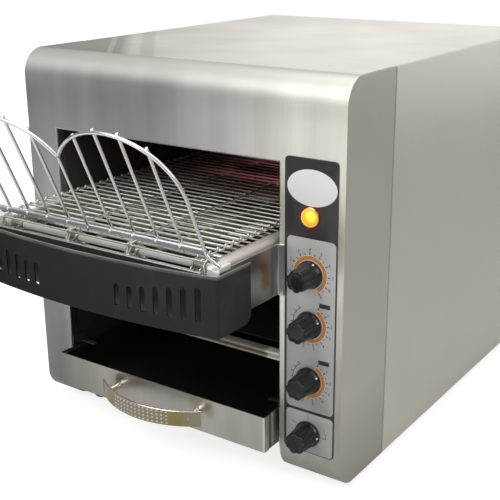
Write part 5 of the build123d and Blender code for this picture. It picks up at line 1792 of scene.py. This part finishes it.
# ---------------------------------------------------------------- controls
def print_plate(surface, width, height, radius, x, z, level, thick, slot):
    """A thin printed field with round corners, its face at y = level - thick."""
    def outline(inset):
        return round_rectangle(width - 2 * inset, height - 2 * inset, max(radius - inset, 0.01)) + (
            x, z
        )

    surface.grid(slab(outline, level - thick, level, thick * 0.3, flat_front), around=True, slot=slot)


def ring_part(surface, x, z, r0, r1, start, stop, level, thick, slot, steps=48):
    """Part of a flat ring round a dial: angles run clockwise from upright, in degrees."""
    turn = np.radians(np.linspace(start, stop, steps))[:, None]
    r = np.array((r0, r0, r1, r1, r0))[None]
    y = np.array((level, level - thick, level - thick, level, level))[None]
    ring = np.stack((x + r * np.sin(turn), y + 0 * turn, z + r * np.cos(turn)), -1)
    ends = [np.repeat(ring[i, :4].mean(0)[None], 5, 0)[None] for i in (0, -1)]
    surface.grid(np.concatenate((ends[0], ring, ends[1])), slot=slot)


def bar_mark(surface, x, z, r0, r1, angle, width, level, thick, slot):
    """A radial tick: a small bar between two radii."""
    spread_by = math.degrees(width / 2 / ((r0 + r1) / 2))
    ring_part(surface, x, z, r0, r1, angle - spread_by, angle + spread_by, level, thick, slot, 2)


class TOASTER_OT_control_panel(bpy.types.Operator):
    """Control panel: black film, silver fields, a bare oval, orange bands and ticks round the dials."""

    bl_idname = "toaster.control_panel"
    bl_label = "Control panel"

    def execute(self, context):
        thick = context.scene.toaster_sizes.print_height
        film = Surface()
        print_plate(film, 52.0, 274.5, 4.0, PANEL_X, 168.05, 0.0, 1.0, 0)
        made = piece(film, "panel_film", "housing", finish("film"))
        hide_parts("control_panel")
        fields = Surface()
        print_plate(fields, 48.6, 162.0, 4.5, PANEL_X + PRINT_MID, 155.0, -1.0, thick, 0)
        print_plate(fields, 48.6, 39.5, 3.5, PANEL_X + PRINT_MID, 51.4, -1.0, thick, 0)
        piece(fields, "panel_fields", "housing", finish("silver"))
        oval = Surface()
        turn = np.linspace(0, 2 * math.pi, 64, endpoint=False)

        def outline(inset):
            across, up = (24.4 - inset) * np.cos(turn), (15.9 - inset) * np.sin(turn)
            return np.stack((PANEL_X + PRINT_MID + across, 280.3 + up), -1)

        oval.grid(slab(outline, -1.0 - thick, -1.0, thick * 0.3, flat_front), around=True)
        piece(oval, "panel_oval", "housing", finish("badge"))
        bands, marks = Surface(), Surface()
        level = -1.0 - thick * 0.9
        for name, z, _ in DIALS:
            if name == "mode":
                for angle in (-62.0, 0.0, 91.0):
                    bar_mark(marks, PANEL_X, z, 14.6, 18.6, angle, 0.55, level, thick * 0.6, 0)
                ring_part(marks, PANEL_X, z, 18.2, 18.6, 60.0, 91.0, level, thick * 0.6, 0, 16)
                continue
            start, stop = (-122.0, 150.0) if name == "speed" else (28.0, 196.0)
            ring_part(bands, PANEL_X, z, 13.0, 17.2, start - 1.2, stop + 1.2, level, thick * 0.6, 0)
            ring_part(bands, PANEL_X, z, 13.4, 16.8, start, stop, level, thick * 0.9, 1)
            if name != "speed":
                ring_part(marks, PANEL_X, z, 16.5, 17.0, -96.0, -30.0, level, thick * 0.6, 0, 24)
                for angle in (-90.0, -72.0, -54.0, -36.0):
                    bar_mark(marks, PANEL_X, z, 17.0, 19.6, angle, 0.7, level, thick * 0.6, 0)
                print_plate(marks, 11.0, 4.2, 0.5, PANEL_X + 15.0, z + 20.2, level, thick * 0.6, 0)
            count = 19 if name == "speed" else 13
            for index, angle in enumerate(np.linspace(start, stop, count)):
                long_mark = index % 2 == 0
                bar_mark(
                    marks, PANEL_X, z, 17.4, 20.2 if long_mark else 19.0, angle, 0.75, level,
                    thick * 0.6, 0,
                )
        piece(bands, "dial_bands", "housing", (finish("badge"), finish("orange")))
        piece(marks, "dial_marks", "housing", finish("ink"))
        numbers()
        return {"FINISHED"}


def numbers():
    """Plain numbers at every other long tick, as flat meshes."""
    made = []
    for name, z, _ in DIALS[:3]:
        start, stop = (-122.0, 150.0) if name == "speed" else (28.0, 196.0)
        count = 10 if name == "speed" else 7
        for index, angle in enumerate(np.linspace(start, stop, count)):
            curve = bpy.data.curves.new("figure", "FONT")
            curve.body = str(index)
            curve.size = 4.2 * MM
            curve.align_x = "CENTER"
            curve.align_y = "CENTER"
            curve.extrude = 0.02 * MM
            curve.resolution_u = 2
            figure = bpy.data.objects.new("figure", curve)
            bpy.context.scene.collection.objects.link(figure)
            turn = math.radians(angle)
            place = row((PANEL_X + 22.3 * math.sin(turn), -1.09, z + 22.3 * math.cos(turn)))
            figure.matrix_world = Matrix.Translation(Vector(place)) @ Matrix.Rotation(
                math.pi / 2, 4, "X"
            )
            made.append(figure)
    bpy.context.view_layer.update()
    points, faces, count = [], [], 0
    for figure in made:
        mesh = bpy.data.meshes.new_from_object(figure)
        flat = np.zeros(len(mesh.vertices) * 3)
        mesh.vertices.foreach_get("co", flat)
        turned = np.array(figure.matrix_world)
        points.append(flat.reshape(-1, 3) @ turned[:3, :3].T + turned[:3, 3])
        faces += [[count + i for i in polygon.vertices] for polygon in mesh.polygons]
        count += len(mesh.vertices)
        bpy.data.objects.remove(figure)
    mesh = bpy.data.meshes.new("dial_numbers")
    mesh.from_pydata(np.concatenate(points).tolist(), [], faces)
    mesh.materials.append(finish("ink"))
    shown = bpy.data.objects.new("dial_numbers", mesh)
    bpy.context.scene.collection.objects.link(shown)
    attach(shown, "housing")


class TOASTER_OT_knobs(bpy.types.Operator):
    """Control knobs: a skirt that flows into a lobed grip, with a white pointer dot on the skirt."""

    bl_idname = "toaster.knobs"
    bl_label = "Knobs"

    def execute(self, context):
        lobes = context.scene.toaster_sizes.knob_lobes
        profile = np.array(
            (
                (0.0, -1.4), (12.1, -1.4), (12.5, -1.6), (12.6, -2.1), (12.6, -3.3), (12.4, -4.1),
                (11.9, -4.8),
                (11.55, -5.4), (11.3, -6.4), (11.1, -8.4), (10.9, -11.0), (10.65, -14.0), (10.4, -17.0),
                (10.2, -20.0),
                (10.05, -22.6), (9.9, -23.7), (9.5, -24.25), (8.9, -24.5), (8.0, -24.4), (7.4, -24.0),
                (5.0, -23.6),
                (2.5, -23.5), (0.0, -23.5),
            )
        )
        for name, z, rest in DIALS:
            turned = math.radians(rest)

            def fluted(radius, along, turn):
                """Radius less a hollow between lobes that deepens towards the tip."""
                wave = 0.5 - 0.5 * np.cos(lobes * (turn - turned))
                deep = np.clip((-along - 5.4) / 6.0, 0.0, 1.0) * np.clip((radius - 4.0) / 4.5, 0.0, 1.0)
                return radius * (1.0 - 0.13 * deep * wave ** 1.6)

            knob = Surface().grid(lathe(profile, (PANEL_X, 0.0, z), "y", 140, fluted), around=True)
            knob.grid(
                lathe([(0.0, 11.5), (3.0, 11.5), (3.0, -1.4), (0.0, -1.4)], (PANEL_X, 0.0, z), "y", 20),
                around=True,
            )
            centre = (PANEL_X + 11.5 * math.sin(turned), 0.0, z + 11.5 * math.cos(turned))
            dot = [(0.0, -5.75), (0.6, -5.7), (0.9, -5.4), (0.9, -3.6), (0.0, -3.6)]
            knob.grid(lathe(dot, centre, "y", 20), around=True, slot=1)
            looks = (finish("knob"), finish("dot"))
            made = piece(knob, name + "_dial_knob", name + "_dial", looks, crease=50.0)
            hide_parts(name + "_knob")
        return {"FINISHED"}


class TOASTER_OT_lamp(bpy.types.Operator):
    """Indicator lamp: a bright stepped bezel round a domed amber lens."""

    bl_idname = "toaster.lamp"
    bl_label = "Indicator lamp"

    def execute(self, context):
        centre = (PANEL_X, 0.0, LAMP_Z + 1.0)
        bezel = [
            (8.0, -1.0), (8.0, -2.4), (8.2, -2.8), (8.5, -2.9), (8.8, -2.7), (9.0, -2.2), (9.1, -1.6),
            (9.1, -1.0), (8.0, -1.0),
        ]
        made = piece(
            Surface().grid(lathe(bezel, centre, "y", 56), around=True), "lamp_ring", "housing",
            finish("gilt")
        )
        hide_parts("lamp_bezel")
        t = np.linspace(0, math.pi / 2, 11)
        dome = np.stack((7.95 * np.sin(t), -2.2 - 6.2 * np.cos(t)), -1)
        body = np.array(((7.95, 1.2), (8.4, 1.2), (8.4, 13.2), (0.0, 13.2)))
        lens = Surface().grid(lathe(np.concatenate((dome, body)), centre, "y", 48), around=True)
        made = piece(lens, "lamp_dome", "housing", finish("lens"))
        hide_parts("lamp_lens")
        return {"FINISHED"}


# ---------------------------------------------------------------- nodes kept from the frame
NODE_FINISH = {
    "seam_frame": "hidden", "base_pan": "hidden", "rear_panel": "wrap", "feet": "rubber",
    "rear_screws": "bright",
    "cord_gland": "moulding", "upper_elements": "quartz", "lower_elements": "cool_quartz",
    "upper_element_caps": "ceramic",
    "lower_element_caps": "ceramic", "upper_reflector": "reflector", "lower_reflector": "reflector",
    "toast_chute": "soot_and_shade", "cross_rods": "bright", "wear_strips": "rail",
    # The chute and the chamber walls take soot-dark steel that is also painted shade.
    "fascia_tabs": "hidden", "gear_motor": "motor", "fan_housing": "moulding",
    "fan_rotor": "moulding", "terminal_block": "ceramic", "chamber_wall_right": "soot_and_shade",
    "chamber_wall_left": "soot_and_shade",
    "rear_block_right": "bright", "rear_block_left": "bright", "drawer_runner_right": "hidden",
    "drawer_runner_left": "hidden", "speed_control": "moulding", "top_heat_control": "moulding",
    "bottom_heat_control": "moulding", "mode_control": "moulding",
}


def smooth_group():
    """Geometry nodes: join loose triangles, shade smooth, keep edges over 32 degrees sharp."""
    name = "smooth_faces"
    if name in bpy.data.node_groups:
        return bpy.data.node_groups[name]
    tree = bpy.data.node_groups.new(name, "GeometryNodeTree")
    tree.interface.new_socket(name="Geometry", in_out="INPUT", socket_type="NodeSocketGeometry")
    tree.interface.new_socket(name="Geometry", in_out="OUTPUT", socket_type="NodeSocketGeometry")
    given, out = tree.nodes.new("NodeGroupInput"), tree.nodes.new("NodeGroupOutput")
    join = tree.nodes.new("GeometryNodeMergeByDistance")
    join.inputs["Distance"].default_value = 0.000002
    faces = tree.nodes.new("GeometryNodeSetShadeSmooth")
    edges = tree.nodes.new("GeometryNodeSetShadeSmooth")
    edges.domain = "EDGE"
    edges.inputs["Shade Smooth"].default_value = False
    angle = tree.nodes.new("GeometryNodeInputMeshEdgeAngle")
    sharp = tree.nodes.new("FunctionNodeCompare")
    sharp.operation = "GREATER_THAN"
    sharp.inputs[1].default_value = math.radians(32)
    tree.links.new(given.outputs[0], join.inputs[0])
    tree.links.new(join.outputs[0], faces.inputs[0])
    tree.links.new(faces.outputs[0], edges.inputs[0])
    tree.links.new(angle.outputs[0], sharp.inputs[0])
    tree.links.new(sharp.outputs[0], edges.inputs["Selection"])
    tree.links.new(edges.outputs[0], out.inputs[0])
    return tree


class TOASTER_OT_frame_nodes(bpy.types.Operator):
    """Finishes for the nodes that are shown as they come from the frame."""

    bl_idname = "toaster.frame_nodes"
    bl_label = "Frame nodes"

    def execute(self, context):
        for name, look in NODE_FINISH.items():
            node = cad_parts[name]
            node.data.materials.clear()
            node.data.materials.append(finish(look))
            smooth = node.modifiers.new("smooth", "NODES")
            smooth.node_group = smooth_group()
        return {"FINISHED"}


# ---------------------------------------------------------------- stage
def area_light(name, place, target, size, power, colour=(1.0, 1.0, 1.0)):
    lamp = bpy.data.lights.new(name, "AREA")
    lamp.shape = "RECTANGLE"
    lamp.size, lamp.size_y = size
    lamp.energy = power
    lamp.color = colour
    made = bpy.data.objects.new(name, lamp)
    bpy.context.scene.collection.objects.link(made)
    made.location = place
    made.rotation_euler = (Vector(target) - Vector(place)).to_track_quat("-Z", "Y").to_euler()
    return made


class TOASTER_OT_stage(bpy.types.Operator):
    """Pale floor, soft lights, bright surroundings and the camera."""

    bl_idname = "toaster.stage"
    bl_label = "Stage"

    def execute(self, context):
        scene = context.scene
        scene.view_settings.view_transform = "Standard"
        self.floor()
        self.surroundings(scene)
        area_light("key", (-0.6, -2.0, 1.9), (0.0, -0.1, 0.2), (1.8, 0.8), 26.0)
        area_light("top", (0.1, 0.3, 2.2), (0.0, 0.0, 0.3), (1.8, 1.8), 17.0)
        area_light("right", (2.0, -0.6, 1.3), (0.0, 0.0, 0.2), (1.0, 1.0), 11.0, (1.0, 0.96, 0.90))
        self.camera(scene)
        return {"FINISHED"}

    def floor(self):
        ends = np.linspace(-3000.0, 3000.0, 13)
        x, y = np.meshgrid(ends, ends, indexing="ij")
        flat = np.stack((x, y, np.full_like(x, -BASE_Z / MM)), -1)
        mesh = bpy.data.meshes.new("floor")
        surface = Surface().grid(flat)
        mesh.from_pydata(row(surface.points[0]).tolist(), [], surface.faces[0].tolist())
        made, tree, shader, where = blank("pale_floor")
        speck = add(tree, "TexNoise", {"Vector": where, "Scale": 6.0, "Detail": 3.0})
        tree.links.new(
            mixed(tree, speck.outputs[0], (0.40, 0.40, 0.39, 1.0), (0.46, 0.46, 0.45, 1.0)),
            shader.inputs["Base Color"]
        )
        shader.inputs["Roughness"].default_value = 0.9
        shader.inputs["Specular IOR Level"].default_value = 0.1
        rays = tree.nodes.new("ShaderNodeLightPath")
        apart = add(tree, "SeparateXYZ", {0: where})
        x, y = apart.outputs[0], apart.outputs[1]
        # Painted light on the floor: a bright patch to the left and front that only reflections see,
        # lightening the steel.
        glossy_patch = maths(
            tree, "MULTIPLY", shaped(tree, x, -1.2, -0.8), shaped(tree, x, -0.3, 0.5, 0.72, 0.06)
        )
        glossy_patch = maths(tree, "MULTIPLY", glossy_patch, shaped(tree, y, -0.75, -0.35, 1.0, 0.30))
        glow = maths(
            tree, "MULTIPLY", maths(tree, "MULTIPLY", glossy_patch, 1.1), rays.outputs["Is Glossy Ray"]
        )
        strength = add(tree, "Mix", {0: rays.outputs["Is Camera Ray"], 2: glow, 3: 0.80})
        shader.inputs["Emission Color"].default_value = (1.0, 1.0, 1.0, 1.0)
        tree.links.new(strength.outputs[0], shader.inputs["Emission Strength"])
        mesh.materials.append(made)
        floor = bpy.data.objects.new("floor", mesh)
        bpy.context.scene.collection.objects.link(floor)

    def surroundings(self, scene):
        world = bpy.data.worlds.new("studio")
        scene.world = world
        world.use_nodes = True
        tree = world.node_tree
        background = tree.nodes["Background"]
        where = tree.nodes.new("ShaderNodeTexCoord").outputs["Generated"]
        way = add(tree, "SeparateXYZ", {0: where})
        low = shaped(tree, way.outputs[2], -0.15, 0.75, 0.12, 0.95)
        low = maths(tree, "MULTIPLY", low, shaped(tree, way.outputs[0], -0.78, -0.50, 0.55, 1.0))
        behind = shaped(tree, way.outputs[1], 0.70, 0.86, 0.0, 0.72)
        level = shaped(tree, way.outputs[2], 0.10, 0.45, 1.0, 0.0)
        rays = tree.nodes.new("ShaderNodeLightPath")
        glossy = maths(tree, "MULTIPLY_ADD", behind, level, low)
        lit = add(tree, "Mix", {0: rays.outputs["Is Glossy Ray"], 2: 0.55, 3: glossy})
        strength = add(tree, "Mix", {0: rays.outputs["Is Camera Ray"], 2: lit.outputs[0], 3: 1.0})
        tree.links.new(strength.outputs[0], background.inputs["Strength"])
        background.inputs["Color"].default_value = (1.0, 1.0, 1.0, 1.0)

    def camera(self, scene):
        yaw, pitch, roll = math.radians(-34.92), math.radians(-18.56), math.radians(-0.49)
        ahead = Vector(
            (math.sin(yaw) * math.cos(pitch), math.cos(yaw) * math.cos(pitch), math.sin(pitch))
        )
        right = Vector((math.cos(yaw), -math.sin(yaw), 0.0))
        up = right.cross(ahead)
        right, up = (
            right * math.cos(roll) + up * math.sin(roll),
            up * math.cos(roll) - right * math.sin(roll),
        )
        data = bpy.data.cameras.new("camera")
        data.sensor_width = 36.0
        data.lens = 959.75 / 500.0 * 36.0
        data.clip_start = 0.02
        data.clip_end = 50.0
        made = bpy.data.objects.new("camera", data)
        scene.collection.objects.link(made)
        turned = Matrix((right, up, -ahead)).transposed().to_4x4()
        made.matrix_world = Matrix.Translation(Vector(row((551.5, -663.44, 485.86)))) @ turned
        scene.camera = made


PIECES = (
    TOASTER_OT_frame_nodes,
    TOASTER_OT_front_shell,
    TOASTER_OT_rear_wrap,
    TOASTER_OT_feed_plates,
    TOASTER_OT_rails,
    TOASTER_OT_corner_blocks,
    TOASTER_OT_guard,
    TOASTER_OT_front_lip,
    TOASTER_OT_belt,
    TOASTER_OT_shafts,
    TOASTER_OT_rack,
    TOASTER_OT_drawer,
    TOASTER_OT_drawer_pan,
    TOASTER_OT_drawer_tabs,
    TOASTER_OT_cross_rail,
    TOASTER_OT_handle,
    TOASTER_OT_control_panel,
    TOASTER_OT_knobs,
    TOASTER_OT_lamp,
    TOASTER_OT_stage,
)


class TOASTER_PT_panel(bpy.types.Panel):
    """Lists the pieces and the settings in the 3D view's sidebar."""

    bl_label = "Conveyor toaster"
    bl_idname = "TOASTER_PT_panel"
    bl_space_type = "VIEW_3D"
    bl_region_type = "UI"
    bl_category = "Toaster"

    def draw(self, context):
        for settings in (context.scene.toaster_sizes, context.scene.toaster_finish):
            box = self.layout.box()
            for name in settings.__annotations__:
                box.prop(settings, name)
        for operator in PIECES:
            self.layout.operator(operator.bl_idname)


CLASSES = (ToasterSizes, ToasterFinish, *PIECES, TOASTER_PT_panel)


def register():
    for made in CLASSES:
        bpy.utils.register_class(made)
    bpy.types.Scene.toaster_sizes = PointerProperty(type=ToasterSizes)
    bpy.types.Scene.toaster_finish = PointerProperty(type=ToasterFinish)


def unregister():
    del bpy.types.Scene.toaster_finish
    del bpy.types.Scene.toaster_sizes
    for made in reversed(CLASSES):
        bpy.utils.unregister_class(made)


def main():
    """Registers the add-on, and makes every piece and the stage."""
    register()
    for operator in PIECES:
        name = operator.bl_idname.split(".")[1]
        getattr(bpy.ops.toaster, name)()


if __name__ == "__main__":
    main()
